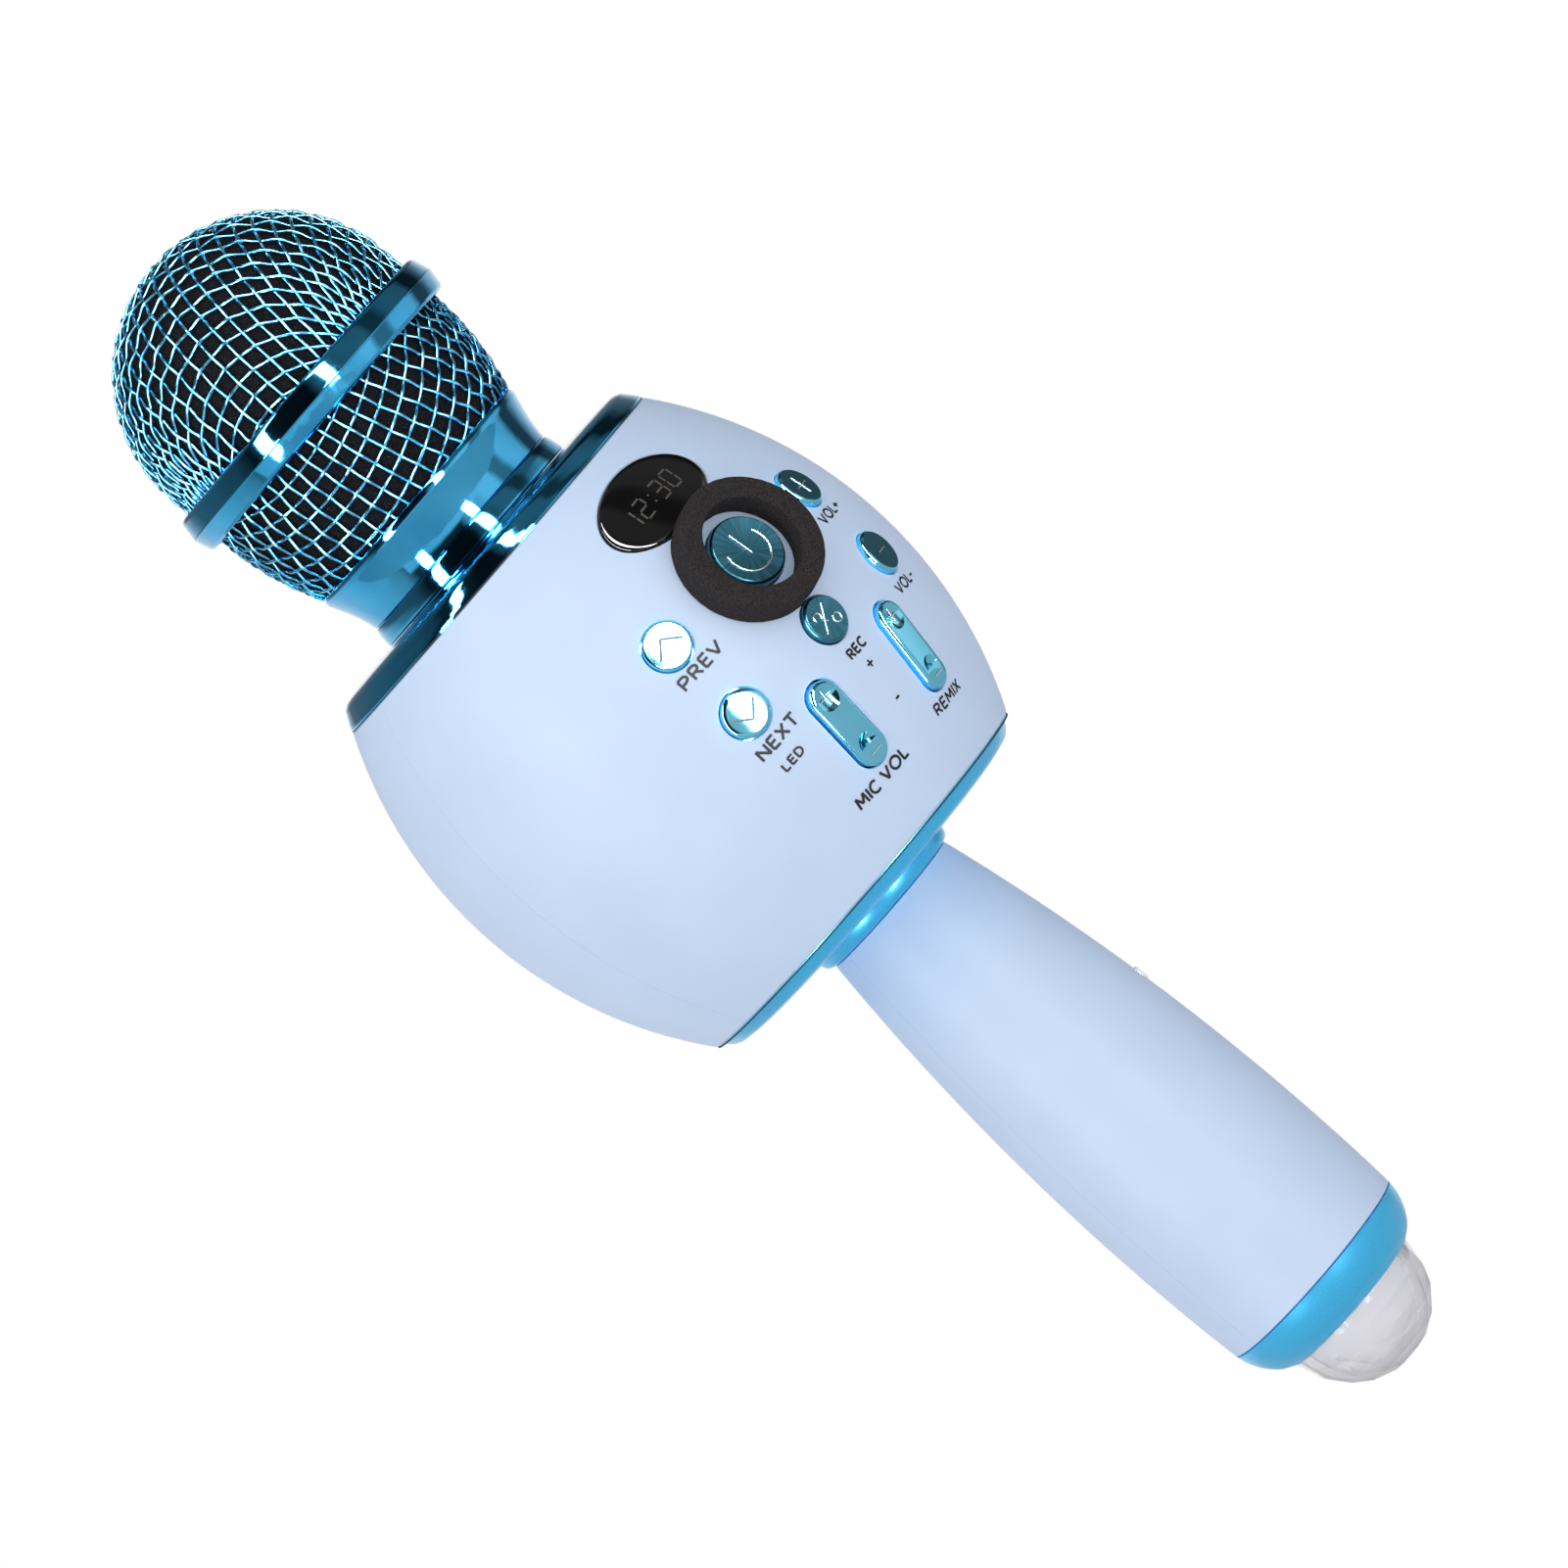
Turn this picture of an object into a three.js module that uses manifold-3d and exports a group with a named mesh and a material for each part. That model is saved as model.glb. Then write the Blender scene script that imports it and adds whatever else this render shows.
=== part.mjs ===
import * as THREE from 'three';
import { mergeVertices } from 'three/addons/utils/BufferGeometryUtils.js';
import Module from 'manifold-3d';

// A hand-held karaoke microphone. A woven grille head screws onto a chromed neck, a barrel body holds
// the controls, the boards and a rear speaker, and a tapered handle holds the battery and ends in a
// crystal light. Millimetres, +Z along the axis towards the grille, the control panel faces -Y, and the
// origin is on the axis in the middle of the hand grip.

const wasm = await Module();
wasm.setup();

// ---------------------------------------------------------------- driving dimensions

const gap = 0.3; // clearance between pieces that touch
const facets = 32; // flats round the barrel and its plates
const slimFacets = 24; // flats round the head, the neck and the handle
const smallFacets = 16; // flats round a small turned piece
const wireFacets = 12; // flats round a pin, a boss or a screw

// Handle
const handleLength = 89.2;
const handleTopRadius = 13.1;
const handleBellyRise = 19.6; // from the handle's lower end up to its widest place
const handleRoom = 9.8; // from the battery cell out to the handle's surface at its widest place
const handleWall = 2.0;
const spigotWall = 2.2; // of the handle's neck inside the collar
const spigotRadius = 11.6;
const spigotLip = 2.4; // by which the neck's flange overhangs the bottom plate's hole

// Collar and bottom plate
const collarHeight = 3.2;
const collarRadius = 14.8;
const collarRecess = 0.8; // of the bottom plate's underside, which takes the collar's top
const bottomPlateHeight = 4.0;
const plateWall = 2.5;

// Body
const bodyHeight = 75.25;
const bodyMaxRadius = 46.0;
const bodyEndRadius = 35.1;
const bodyWall = 2.2;

// Top plate, neck and thread
const topPlateHeight = 4.2;
const topPlateCrown = 1.1; // rise of the top plate from its rounded edge to the neck ring
const neckRingHeight = 3.5;
const neckRingRadius = 20.8;
const postRadius = 15.7;
const postWall = 2.5;
const postHeight = 7.5; // above the neck ring
const threadWall = 2.2; // of the insert that screws onto the post

// Grille head
const flareHeight = 9.3;
const flareTopRadius = 22.5;
const flareFootRadius = 20.2;
const flareLip = 2.5; // height of the rim that the skirt sits round
const skirtHeight = 18.2;
const skirtTopRadius = 26.0;
const meshWall = 0.8;
const bandHeight = 7.0;
const bandEdgeRadius = 27.7;
const bandRidgeRadius = 28.6;
const domeRadius = 26.2;
const domeStraight = 4.0; // straight stretch between the band and the hemisphere
const foamWall = 3.0;
const capsuleRadius = 8.0;
const capsuleHeight = 8.6;
const cradleWall = 3.0;

// Controls: heights are shares of the body's half height, up from its middle
const displayRow = 0.71;
const upperRow = 0.277;
const lowerRow = -0.139;
const rockerRow = -0.482;
const buttonAngle = 26.2; // degrees from the panel's middle to the side columns
const rockerAngle = 13.0;
const displayHalfWidth = 11.2;
const displayHalfHeight = 7.2;
const displayProud = 0.5;
const windowThickness = 2.2;
const moduleSize = [19, 9.5, 3.5];
const powerRadius = 6.2;
const powerProud = 1.5;
const buttonRadius = 4.0;
const buttonProud = 0.8;
const buttonTravel = 0.5;
const flangeWidth = 0.9;
const flangeThickness = 0.8;
const buttonEdge = 0.4;
const rockerLength = 17.0;
const rockerWidth = 6.0;
const rockerProud = 1.0;
const rockerDepth = 3.2; // of the rocker's body below the panel
const rockerPlay = 0.5; // round the rocker, so that it can tilt
const pinRadius = 0.75;
const pinDepth = 4.6;
const earWidth = 1.4;
const foamRingOuter = 11.9;
const foamRingInner = 8.1;
const foamRingThickness = 4.0;
const switchSize = 6.0;
const switchHeight = 2.0;
const switchStem = 1.7;
const carrierDepth = 8.4;
const carrierWall = 1.6;
const carrierAngle = 36; // degrees to each side
const supportRadius = 2.0;

// Boards
const boardThickness = 1.6;
const mainBoardWidth = 46;
const mainBoardHeight = 50;
const boardStandoff = 7.0; // from the carrier's inner face at its side edge back to the main board

// Speaker
const speakerRadius = 17.2; // of the opening in front of the cone
const speakerSeat = 23.5; // radius of the raised seat on the back shell
const seatSink = 4.0; // from the body's widest radius in to the seat's face
const seatWall = 3.5;
const trimWidth = 3.9;
const trimHeight = 1.5;
const grilleThickness = 1.0;
const basketDepth = 11.0;
const magnetRadius = 13.5;
const magnetHeight = 8.0;
const coneTravel = 0.8;

// Battery, charging board and ports
const batteryRadius = 9.2;
const batteryLength = 65.0;
const batteryRise = 7.0; // of the cell above the handle's lower end
const cradleThickness = 1.4;
const chargeBoardWidth = 16;
const chargeBoardLength = 32;
const usbSize = [9.0, 3.2];
const cardSize = [12.0, 2.0];
const jackRadius = 3.0;
const jackBore = 1.75;
const portPitch = 9.5;

// End cap, crystal and light
const endCapHeight = 7.9;
const crystalRadius = 13.2;
const crystalWall = 2.0;
const crystalFlange = 1.3;
const capSpigot = 3.0;

// Screws, leads and the indicator
const screwRadius = 1.2;
const screwHeadRadius = 2.4;
const screwHeadHeight = 1.0;
const bossRadius = 3.2;
const caseScrewRadius = 26.0; // from the axis
const caseScrewLength = 10.0;
const leadRadius = 0.9;
const indicatorAngle = 54; // degrees round the handle from the front
const indicatorHeight = 7.0;
const indicatorLength = 3.0;
const indicatorWidth = 1.6;
const indicatorProud = 0.4;

// ---------------------------------------------------------------- levels along the axis

const handleMaxRadius = batteryRadius + handleRoom;

const handleBottom = -handleLength / 2;
const handleTop = handleLength / 2;
const plateBottom = handleTop + collarHeight;
const bodyBottom = plateBottom + bottomPlateHeight;
const bodyTop = bodyBottom + bodyHeight;
const bodyMiddle = (bodyBottom + bodyTop) / 2;
const neckRingFoot = bodyTop + topPlateHeight;
const flareFoot = neckRingFoot + neckRingHeight;
const flareTop = flareFoot + flareHeight;
const bandFoot = flareTop + skirtHeight;
const bandMiddle = bandFoot + bandHeight / 2;
const bandTop = bandFoot + bandHeight;
const domeCentre = bandTop + domeStraight;
const crystalCentre = handleBottom - endCapHeight;

// ---------------------------------------------------------------- finishes

const softBlue = { color: 0xc6d9f3, roughness: 0.5, metalness: 0.0 };
const blueChrome = { color: 0x3f9cc6, roughness: 0.08, metalness: 1.0 };
const brightBlue = { color: 0x34aee6, roughness: 0.22, metalness: 0.7 };
const wireBlue = { color: 0x5aa9c9, roughness: 0.3, metalness: 0.9 };
const blackFoam = { color: 0x0c0f14, roughness: 0.95, metalness: 0.0 };
const charcoalFoam = { color: 0x322e30, roughness: 0.95, metalness: 0.0 };
const blackGloss = { color: 0x08080a, roughness: 0.05, metalness: 0.0 };
const crystalClear = { color: 0xe6e6ee, roughness: 0.05, metalness: 0.0, transparent: true, opacity: 0.4 };
const blackPlastic = { color: 0x1c1d20, roughness: 0.5, metalness: 0.0 };
const boardGreen = { color: 0x17563a, roughness: 0.5, metalness: 0.0 };
const brightSteel = { color: 0xb9bcc0, roughness: 0.3, metalness: 1.0 };
const darkRubber = { color: 0x222326, roughness: 0.8, metalness: 0.0 };
const conePaper = { color: 0x1a1a1c, roughness: 0.9, metalness: 0.0 };
const batterySleeve = { color: 0x2f6fb5, roughness: 0.35, metalness: 0.0 };
const leadRed = { color: 0xa61f24, roughness: 0.5, metalness: 0.0 };

// ---------------------------------------------------------------- solids

// Makes a closed geometry into a solid whose faces point outward.
function solid(geometry) {
  geometry.deleteAttribute('normal');
  geometry.deleteAttribute('uv');
  const merged = mergeVertices(geometry, 1e-4);
  const index = merged.index.array;
  const corners = [];
  for (let i = 0; i < index.length; i += 3) {
    const [a, b, c] = index.slice(i, i + 3);
    if (a !== b && b !== c && c !== a) corners.push(a, b, c);
  }
  const vertProperties = merged.attributes.position.array;
  const build = (list) => {
    const triVerts = new Uint32Array(list);
    return new wasm.Manifold(new wasm.Mesh({ numProp: 3, vertProperties, triVerts }));
  };
  const made = build(corners);
  return made.volume() > 0 ? made : build(corners.reverse());
}

// Turns a profile of [radius, height] points about the Z axis. The profile starts and ends on the axis,
// or closes on itself.
function turned(profile, sides = facets) {
  const points = profile.map(([radius, height]) => new THREE.Vector2(radius, height));
  if (profile[0][0] > 0) points.push(points[0].clone());
  const geometry = new THREE.LatheGeometry(points, sides);
  geometry.rotateX(Math.PI / 2);
  return solid(geometry);
}

// A rod along Z between two heights.
function rod(radius, low, high, sides = smallFacets) {
  const geometry = new THREE.CylinderGeometry(radius, radius, high - low, sides);
  geometry.rotateX(Math.PI / 2);
  geometry.translate(0, 0, (low + high) / 2);
  return solid(geometry);
}

function block(low, high) {
  const [x, y, z] = high.map((value, axis) => value - low[axis]);
  const geometry = new THREE.BoxGeometry(x, y, z);
  geometry.translate(low[0] + x / 2, low[1] + y / 2, low[2] + z / 2);
  return solid(geometry);
}

// A flat outline in the XY plane raised along Z between two heights.
function raised(shape, low, high, curveSegments = 8) {
  const geometry = new THREE.ExtrudeGeometry(shape, { depth: high - low, bevelEnabled: false, curveSegments });
  geometry.translate(0, 0, low);
  return solid(geometry);
}

function ellipseShape(halfWidth, halfHeight) {
  const shape = new THREE.Shape();
  shape.absellipse(0, 0, halfWidth, halfHeight, 0, Math.PI * 2);
  return shape;
}

function pillShape(length, width) {
  const radius = width / 2;
  const straight = (length - width) / 2;
  const shape = new THREE.Shape();
  shape.absarc(0, straight, radius, 0, Math.PI);
  shape.absarc(0, -straight, radius, Math.PI, Math.PI * 2);
  shape.closePath();
  return shape;
}

// A round lead along a smooth route.
function lead(route) {
  const path = new THREE.CatmullRomCurve3(route.map((point) => new THREE.Vector3(...point)));
  const section = new THREE.Shape();
  section.absarc(0, 0, leadRadius, 0, Math.PI * 2);
  const steps = Math.ceil(path.getLength() / (leadRadius * 5));
  const geometry = new THREE.ExtrudeGeometry(section, { steps, curveSegments: 4, extrudePath: path });
  return solid(geometry);
}

function moved(shape, place) {
  return shape.transform(place.elements);
}

function joined(...shapes) {
  return shapes.reduce((whole, shape) => whole.add(shape));
}

function cutBy(shape, ...cutters) {
  return cutters.reduce((left, cutter) => left.subtract(cutter), shape);
}

// Points [radius, height] along a curved stretch of a profile.
function stretch(low, high, steps, radiusAt) {
  const heights = Array.from({ length: steps + 1 }, (_, i) => low + ((high - low) * i) / steps);
  return heights.map((height) => [radiusAt(height), height]);
}

// Points of an arc in a profile, between two angles in degrees from the radial direction.
function arc(centreRadius, centreHeight, radius, from, to, steps) {
  return Array.from({ length: steps + 1 }, (_, i) => {
    const angle = THREE.MathUtils.degToRad(from + ((to - from) * i) / steps);
    return [Math.max(0, centreRadius + radius * Math.cos(angle)), centreHeight + radius * Math.sin(angle)];
  });
}

// Points of a profile along a parabola that leaves the first point towards the corner and arrives from it.
function softCorner(start, corner, end, steps) {
  const ends = [start, corner, end].map((point) => new THREE.Vector2(...point));
  const curve = new THREE.QuadraticBezierCurve(...ends);
  return curve.getPoints(steps).map((point) => [point.x, point.y]);
}

// Radius of the circle whose arc over a half chord has this much sag.
function arcRadius(halfChord, sag) {
  return (halfChord ** 2 + sag ** 2) / (2 * sag);
}

function piece(name, shape, finish, place = new THREE.Matrix4()) {
  const { vertProperties, triVerts } = shape.getMesh();
  const geometry = new THREE.BufferGeometry();
  geometry.setAttribute('position', new THREE.BufferAttribute(vertProperties, 3));
  geometry.setIndex(new THREE.BufferAttribute(triVerts, 1));
  geometry.computeVertexNormals();
  const mesh = new THREE.Mesh(geometry, new THREE.MeshStandardMaterial(finish));
  mesh.name = name;
  mesh.applyMatrix4(place);
  return mesh;
}

function assembly(...members) {
  const group = new THREE.Group();
  group.add(...members);
  return group;
}

// ---------------------------------------------------------------- outer surfaces

const bodySteps = 8; // straight stretches up the barrel's curve
const bodyArc = arcRadius(bodyHeight / 2, bodyMaxRadius - bodyEndRadius);
const handleArc = arcRadius(handleLength - handleBellyRise, handleMaxRadius - handleTopRadius);
const skirtArc = arcRadius(skirtHeight, skirtTopRadius - flareTopRadius);

function bodyRadius(height) {
  return bodyMaxRadius - bodyArc + Math.sqrt(bodyArc ** 2 - (height - bodyMiddle) ** 2);
}

function handleRadius(height) {
  const fromBelly = height - handleBottom - handleBellyRise;
  return handleMaxRadius - handleArc + Math.sqrt(handleArc ** 2 - fromBelly ** 2);
}

function skirtRadius(height) {
  const drop = Math.max(0, bandFoot - height);
  return skirtTopRadius - skirtArc + Math.sqrt(skirtArc ** 2 - drop ** 2);
}

// The barrel's full solid, with its surface moved out by an offset.
function barrel(offset, low = bodyBottom, high = bodyTop) {
  return turned([[0, low], ...stretch(low, high, bodySteps, (z) => bodyRadius(z) + offset), [0, high]]);
}

// A place on the panel: X runs to the right, Y up the surface, Z straight out, at an angle from the middle.
function panelSeat(angle, share) {
  const height = bodyMiddle + (share * bodyHeight) / 2;
  const turn = THREE.MathUtils.degToRad(angle);
  const tilt = Math.asin((height - bodyMiddle) / bodyArc);
  const out = new THREE.Vector3(Math.sin(turn), -Math.cos(turn), 0);
  const across = new THREE.Vector3(Math.cos(turn), Math.sin(turn), 0);
  const normal = out.clone().multiplyScalar(Math.cos(tilt)).setZ(Math.sin(tilt));
  const up = new THREE.Vector3().crossVectors(normal, across);
  const place = new THREE.Matrix4().makeBasis(across, up, normal);
  return place.setPosition(out.multiplyScalar(bodyRadius(height)).setZ(height));
}

// How far below the panel a flat piece of this radius clears the curved inner face of the shell.
function clearDepth(radius) {
  return bodyWall + radius ** 2 / (2 * (bodyEndRadius - bodyWall)) + gap;
}

// ---------------------------------------------------------------- grille head

function grilleDome() {
  const rim = bandMiddle + gap / 2;
  const outer = arc(0, domeCentre, domeRadius, 90, 0, 6);
  const inner = arc(0, domeCentre, domeRadius - meshWall, 0, 90, 6);
  return turned([...outer, [domeRadius, rim], [domeRadius - meshWall, rim], ...inner], slimFacets);
}

function grilleSkirt() {
  const foot = flareTop + gap;
  const rim = bandMiddle - gap / 2;
  const outer = [...stretch(foot, bandFoot, 3, skirtRadius), [skirtTopRadius, rim]];
  const inner = outer.map(([radius, height]) => [radius - meshWall, height]).reverse();
  return turned([...outer, ...inner], slimFacets);
}

function grilleBand() {
  const bore = Math.max(domeRadius, skirtTopRadius) + gap;
  const edge = 0.35;
  return turned([
    [bore, bandFoot],
    [bandEdgeRadius - edge, bandFoot],
    [bandEdgeRadius, bandFoot + edge],
    [bandRidgeRadius, bandMiddle],
    [bandEdgeRadius, bandTop - edge],
    [bandEdgeRadius - edge, bandTop],
    [bore, bandTop],
  ], slimFacets);
}

function grilleFoam() {
  const clear = meshWall + gap;
  const domeFoam = domeRadius - clear;
  const foot = flareTop + flareLip + gap;
  const outerSide = stretch(bandFoot, foot, 3, (z) => skirtRadius(z) - clear);
  const innerSide = stretch(foot, bandFoot, 1, (z) => skirtRadius(z) - clear - foamWall);
  const outer = arc(0, domeCentre, domeFoam, 90, 0, 6);
  const inner = arc(0, domeCentre, domeFoam - foamWall, 0, 90, 4);
  return turned([...outer, ...outerSide, ...innerSide, ...inner], slimFacets);
}

function neckFlare() {
  const foot = flareFoot + gap;
  const top = flareTop + flareLip;
  const bore = postRadius + gap + threadWall + gap;
  const stop = flareTop - 2 + gap;
  const spread = flareTopRadius - flareFootRadius;
  const curve = (z) => flareFootRadius + spread * ((z - foot) / (flareTop - foot)) ** 1.5;
  const lip = flareTopRadius - meshWall - gap;
  return turned([
    [bore, foot],
    ...stretch(foot, flareTop, 4, curve),
    [lip, flareTop],
    [lip, top],
    [bore - threadWall / 2, top],
    [bore - threadWall / 2, stop],
    [bore, stop],
  ], slimFacets);
}

function headThreadRing() {
  const inner = postRadius + gap;
  const outer = inner + threadWall;
  const foot = flareFoot + 2 * gap;
  const top = flareTop - 2;
  return turned([[inner, foot], [outer, foot], [outer, top], [inner, top]], slimFacets);
}

// The rubber cradle plugs into the post, and the capsule sits in its pocket.
const postTop = flareFoot + postHeight;
const cradleFoot = postTop + gap;
const pocketFloor = cradleFoot + 4.5;
const cradleBore = leadRadius + 2 * gap;

function capsuleCradle() {
  const plug = postRadius - postWall - gap;
  const pocket = capsuleRadius + gap;
  const cup = pocket + cradleWall;
  return turned([
    [cradleBore, cradleFoot - 4],
    [plug, cradleFoot - 4],
    [plug, cradleFoot],
    [postRadius - 1, cradleFoot],
    [postRadius - 1, cradleFoot + 1.4],
    [cup, cradleFoot + 1.4],
    [cup, pocketFloor + 4],
    [pocket, pocketFloor + 4],
    [pocket, pocketFloor],
    [cradleBore, pocketFloor],
  ], 20);
}

function micCapsule() {
  const foot = pocketFloor + gap;
  const top = foot + capsuleHeight;
  const edge = 0.8;
  return turned([
    [0, foot],
    [capsuleRadius, foot],
    [capsuleRadius, top - edge],
    [capsuleRadius - edge, top],
    [capsuleRadius - 2, top],
    [capsuleRadius - 2, top - edge],
    [0, top - edge],
  ], 20);
}

function grilleHead() {
  return assembly(
    piece('grille_dome', grilleDome(), wireBlue),
    piece('grille_skirt', grilleSkirt(), wireBlue),
    piece('grille_band', grilleBand(), blueChrome),
    piece('grille_foam', grilleFoam(), blackFoam),
    piece('neck_flare', neckFlare(), blueChrome),
    piece('head_thread_ring', headThreadRing(), brightSteel),
    piece('capsule_cradle', capsuleCradle(), darkRubber),
    piece('mic_capsule', micCapsule(), brightSteel),
  );
}

// ---------------------------------------------------------------- neck and end plates

function neckRing() {
  const foot = neckRingFoot + gap;
  const bore = postRadius - postWall;
  const tail = bodyTop - 2;
  const edge = 0.3;
  return turned([
    [bore, tail],
    [postRadius, tail],
    [postRadius, foot],
    [neckRingRadius, foot],
    [neckRingRadius, flareFoot - edge],
    [neckRingRadius - edge, flareFoot],
    [postRadius, flareFoot],
    [postRadius, postTop],
    [bore, postTop],
  ], slimFacets);
}

function topPlate() {
  const hole = postRadius + gap;
  const shoulder = neckRingFoot - topPlateCrown;
  const skirt = bodyEndRadius - bodyWall - gap;
  const floor = neckRingFoot - plateWall;
  const rim = [bodyEndRadius, bodyTop];
  const corner = softCorner([bodyEndRadius - 2.2, shoulder], [bodyEndRadius - 0.7, shoulder - 0.2], rim, 3);
  return turned([
    [hole, floor],
    [hole, neckRingFoot],
    [neckRingRadius, neckRingFoot],
    ...corner,
    [skirt, bodyTop],
    [skirt, bodyTop - plateWall],
    [skirt - plateWall, bodyTop - plateWall],
    [skirt - plateWall, floor],
  ]);
}

// Height of the case screws' heads in the bottom plate's counterbores.
const screwSeat = plateBottom + screwHeadHeight + gap;

function caseScrewPlace(side) {
  return new THREE.Matrix4().makeTranslation(0, side * caseScrewRadius, 0);
}

function bottomPlate() {
  const hole = spigotRadius + gap;
  const skirt = bodyEndRadius - bodyWall - gap;
  const floor = plateBottom + plateWall;
  const rim = [bodyEndRadius, bodyBottom];
  const corner = softCorner([bodyEndRadius - 4.6, plateBottom], [bodyEndRadius - 0.9, plateBottom], rim, 4);
  const plate = turned([
    [hole, plateBottom + collarRecess],
    [collarRadius + gap, plateBottom + collarRecess],
    [collarRadius + gap, plateBottom],
    ...corner,
    [skirt, bodyBottom],
    [skirt, bodyBottom + plateWall],
    [skirt - plateWall, bodyBottom + plateWall],
    [skirt - plateWall, floor],
    [hole, floor],
  ]);
  const through = rod(screwRadius + gap, plateBottom - 1, floor + 1);
  const counterbore = rod(screwHeadRadius + gap, plateBottom - 1, screwSeat + gap / 2);
  const cutters = [-1, 1].map((side) => moved(joined(through, counterbore), caseScrewPlace(side)));
  return cutBy(plate, ...cutters);
}

function handleCollar() {
  const hole = spigotRadius + gap;
  const foot = handleTop + gap;
  const top = plateBottom + collarRecess - gap;
  const corner = softCorner([collarRadius - 0.9, foot], [collarRadius - 0.2, foot], [collarRadius, foot + 1], 2);
  return turned([[hole, foot], ...corner, [collarRadius, top], [hole, top]], slimFacets);
}

function screw(length) {
  return joined(rod(screwHeadRadius, 0, screwHeadHeight, wireFacets), rod(screwRadius, 0, length, wireFacets));
}

function neckAndPlates() {
  return assembly(
    piece('neck_ring', neckRing(), blueChrome),
    piece('top_plate', topPlate(), blueChrome),
    piece('bottom_plate', bottomPlate(), brightBlue),
    piece('handle_collar', handleCollar(), brightBlue),
  );
}

// ---------------------------------------------------------------- controls

const buttons = [
  { name: 'power', angle: 0, row: upperRow, radius: powerRadius, proud: powerProud },
  { name: 'prev', angle: -buttonAngle, row: upperRow, radius: buttonRadius, proud: buttonProud },
  { name: 'next', angle: -buttonAngle, row: lowerRow, radius: buttonRadius, proud: buttonProud },
  { name: 'vol_up', angle: buttonAngle, row: upperRow, radius: buttonRadius, proud: buttonProud },
  { name: 'vol_down', angle: buttonAngle, row: lowerRow, radius: buttonRadius, proud: buttonProud },
  { name: 'rec', angle: 0, row: lowerRow, radius: buttonRadius, proud: buttonProud },
];

const rockers = [
  { name: 'mic_volume', angle: -rockerAngle },
  { name: 'remix', angle: rockerAngle },
];

function buttonFoot(radius) {
  return -clearDepth(radius + flangeWidth) - flangeThickness;
}

function button({ radius, proud }) {
  const foot = buttonFoot(radius);
  return turned([
    [0, foot],
    [radius + flangeWidth, foot],
    [radius + flangeWidth, foot + flangeThickness],
    [radius, foot + flangeThickness],
    [radius, proud - buttonEdge],
    [radius - buttonEdge, proud],
    [0, proud],
  ], smallFacets);
}

function buttonSwitch({ radius }) {
  const half = switchSize / 2;
  const floor = -carrierDepth + gap;
  const base = block([-half, -half, floor], [half, half, floor + switchHeight]);
  return joined(base, rod(switchStem, floor, buttonFoot(radius) - buttonTravel - gap, wireFacets));
}

function rocker() {
  const body = raised(pillShape(rockerLength, rockerWidth), -rockerDepth, rockerProud);
  const half = rockerWidth / 2 - gap;
  const web = block([-half, -2, -pinDepth - 1.8], [half, 2, -rockerDepth + 0.1]);
  return cutBy(joined(body, web), acrossRod(pinRadius + gap, rockerWidth));
}

// A rod across the panel at the rockers' pivot.
function acrossRod(radius, length) {
  const geometry = new THREE.CylinderGeometry(radius, radius, length, wireFacets);
  geometry.rotateZ(Math.PI / 2);
  geometry.translate(0, 0, -pinDepth);
  return solid(geometry);
}

const earInner = rockerWidth / 2 + rockerPlay + gap;
const earOuter = earInner + earWidth;
const pinLength = 2 * earOuter;

// The two ears inside the front shell that hold a rocker's pin.
function rockerEars() {
  const foot = -pinDepth - pinRadius - gap - 0.9;
  const ear = (low, high) => block([low, -2.2, foot], [high, 2.2, -bodyWall + 0.6]);
  return joined(ear(earInner, earOuter), ear(-earOuter, -earInner));
}

function rockerSwitch() {
  const floor = -carrierDepth + gap;
  const halfLength = rockerLength / 2 - 1;
  const base = block([-switchSize / 2, -halfLength, floor], [switchSize / 2, halfLength, floor + 1]);
  const stem = rod(switchStem, floor, -rockerDepth - buttonTravel - gap, wireFacets);
  const reach = halfLength - switchStem;
  const stems = [-reach, reach].map((y) => stem.translate([0, y, 0]));
  return joined(base, ...stems);
}

function displayPrism(extra) {
  return raised(ellipseShape(displayHalfWidth + extra, displayHalfHeight + extra), -12, 6, 14);
}

function displayWindow() {
  const prism = moved(displayPrism(0), panelSeat(0, displayRow));
  return prism.intersect(barrel(displayProud)).subtract(barrel(displayProud - windowThickness));
}

function displayModule() {
  const [width, height, depth] = moduleSize;
  const face = -clearDepth(Math.hypot(width, height) / 2);
  return block([-width / 2, -height / 2, face - depth], [width / 2, height / 2, face]);
}

// The foam ring lies on the panel, on the display's edge and beside the record button.
function foamRing() {
  const ring = turned([
    [foamRingInner, -4],
    [foamRingOuter, -4],
    [foamRingOuter, foamRingThickness - 0.4],
    [foamRingOuter - 0.4, foamRingThickness],
    [foamRingInner + 0.4, foamRingThickness],
    [foamRingInner, foamRingThickness - 0.4],
  ], facets);
  const placed = moved(ring, panelSeat(0, upperRow));
  const window = moved(displayPrism(gap), panelSeat(0, displayRow)).intersect(barrel(displayProud + gap));
  const recordButton = moved(rod(buttonRadius + 2 * gap, -6, buttonProud + gap), panelSeat(0, lowerRow));
  return cutBy(placed, barrel(gap), window, recordButton);
}

// The curved carrier behind the panel, with posts that reach back to the main board.
const carrierTop = bodyMiddle + (upperRow * bodyHeight) / 2 + switchSize;
const carrierFoot = bodyMiddle + (rockerRow * bodyHeight) / 2 - rockerLength / 2;
const carrierEdge = (bodyRadius(carrierFoot) - carrierDepth) * Math.cos(THREE.MathUtils.degToRad(carrierAngle));
const mainBoardFront = -carrierEdge + boardStandoff;

function boardPosts(low, high) {
  const across = mainBoardWidth / 2 - 12;
  const places = [-1, 1].flatMap((x) => [carrierFoot + 6, carrierTop - 4].map((z) => [x * across, z]));
  return places.map(([x, z]) => alongY(rod(supportRadius, low, high, wireFacets), x, z));
}

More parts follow.
